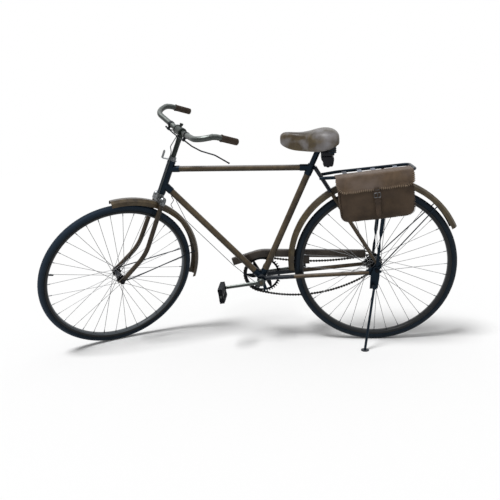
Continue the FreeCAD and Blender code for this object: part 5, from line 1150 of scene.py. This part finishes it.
pedals = (("left", Vector((-0.0865, -0.120, 0.2868)), 84), ("right", Vector((0.2505, 0.120, 0.3312)), 12))
for name, centre, tilt in pedals:
    blocks = []
    for offset in (-0.022, 0.022):
        rubber_block = pedal_block("pedal_block")
        rubber_block.data.transform(Matrix.Translation((offset, 0, 0)))
        blocks.append(rubber_block)
    blocks = joined(name + "_pedal_blocks", blocks)
    blocks.data.transform(Matrix.Translation(centre) @ Matrix.Rotation(math.radians(tilt), 4, "Y"))
    park(blocks, upright, name + "_pedal", pedal_rubber)
    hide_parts(name + "_pedal_rubbers")

# Cranks
# Forged steel arms, slender and rounded, each held to the axle by a tapered cotter pin with its nut. They
# stand opposite each other.
crank_dip = 7.5
crank_length = 0.170


def forged_arm(name, side):
    """Crank arm along x from its boss at the origin: an oval bar between two round eyes."""
    bpy.ops.object.select_all(action="DESELECT")
    bpy.ops.mesh.primitive_circle_add(vertices=16, radius=1.0, fill_type="NGON", rotation=(0, math.pi / 2, 0))
    arm = bpy.context.object
    arm.name = name
    bpy.ops.object.transform_apply(rotation=True)
    bpy.ops.object.mode_set(mode="EDIT")
    bpy.ops.mesh.select_all(action="SELECT")
    bpy.ops.transform.resize(value=(1.0, 0.0058, 0.0108))
    for run, share in ((0.030, 0.80), (0.050, 0.90), (0.080, 0.96)):
        bpy.ops.mesh.extrude_region_move(TRANSFORM_OT_translate={"value": (run, 0, 0)})
        bpy.ops.transform.resize(value=(1.0, 0.97, share))
    skinned(50)
    boss = lathed("crank_boss", [(0.0082, -0.0075), (0.0150, -0.0075), (0.0165, -0.0060), (0.0165, 0.0060),
                                 (0.0150, 0.0075), (0.0082, 0.0075), (0.0082, -0.0075)], 32)
    eye = lathed("crank_eye", [(0.0, -0.0066), (0.0100, -0.0066), (0.0114, -0.0052), (0.0114, 0.0052),
                               (0.0100, 0.0066), (0.0, 0.0066)], 28)
    spindle = lathed("crank_spindle", [(0.0, 0.0), (0.0086, 0.0), (0.0086, 0.0060), (0.0058, 0.0070),
                                       (0.0058, 0.1010), (0.0, 0.1015)], 20)
    turn = Matrix.Rotation(-math.pi / 2 * side, 4, "X")
    boss.data.transform(turn)
    eye.data.transform(Matrix.Translation((crank_length, 0, 0)) @ turn)
    spindle.data.transform(Matrix.Translation((crank_length, side * 0.0050, 0)) @ turn)
    pin = lathed("cotter_pin", [(0.0, -0.0205), (0.0044, -0.0200), (0.0048, -0.0170), (0.0048, 0.0150),
                                (0.0034, 0.0155), (0.0034, 0.0235), (0.0, 0.0240)], 14)
    nut = lathed("cotter_nut", [(0.0, 0.0160), (0.0068, 0.0160), (0.0068, 0.0205), (0.0, 0.0205)], 6)
    for piece in (pin, nut):
        piece.data.transform(Matrix.Translation((0.0115, 0, 0)) @ Matrix.Rotation(math.radians(12), 4, "Y"))
    return joined(name, [arm, boss, eye, spindle, pin, nut])


for side, name in ((-1, "left"), (1, "right")):
    dip = 180 + crank_dip if side < 0 else crank_dip
    crank = forged_arm(name + "_forged_crank", side)
    crank.data.transform(Matrix.Translation(bracket + Vector((0, side * 0.066, 0))) @
                         Matrix.Rotation(math.radians(-dip), 4, "Y"))
    park(crank, upright, "cranks", browned_steel)
    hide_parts(name + "_crank")

# Nuts and bolts
# Small hexagon heads with washers at the seat lug, the carrier's front clamps and its legs, and round
# rivets on the strips of the carrier's deck.


def hex_bolt(name, radius, head, shank):
    """Hexagon head with a washer and a short threaded end, made along z."""
    disc = 0.0009
    washer = lathed(name + "_washer", [(0.0, 0.0), (radius * 1.35, 0.0), (radius * 1.35, disc),
                                       (0.0, disc)], 20)
    hexagon = lathed(name, [(0.0, disc), (radius, disc), (radius, head * 0.8), (radius * 0.86, head),
                            (0.0, head)], 6)
    thread = lathed(name + "_thread", [(0.0, head), (radius * 0.5, head), (radius * 0.5, head + shank),
                                       (0.0, head + shank)], 12)
    return joined(name, [washer, hexagon, thread])


def left_and_right(x, y, z):
    """A place on each side of the bicycle, facing outwards."""
    return [pointing(Vector((x, side * y, z)), Vector((0, side, 0))) for side in (-1, 1)]


places = []
for x, y, z in ((0.3372, 0.0140, 0.8012), (0.3582, 0.0352, 0.7650), (0.6320, 0.0750, 0.7780)):
    places += left_and_right(x, y, z)
frame_bolts = repeated(hex_bolt("frame_bolts", 0.0048, 0.0042, 0.003), places)
park(frame_bolts, upright, "frame", dark_steel)
deck_start = 0.371
deck_slope = math.tan(math.radians(4))
deck = [Vector((deck_start + run, y, 0.765 + run * deck_slope + 0.0014))
        for run in [deck_start * share for share in (0.243, 0.418, 0.574, 0.825)] for y in (-0.054, 0.054)]
deck_rivets = repeated(round_bar("deck_rivets", 0.0030, 0.0016, 12, 0.6),
                       [pointing(spot, (-0.07, 0, 1)) for spot in deck])
park(deck_rivets, upright, "frame", strip_enamel)
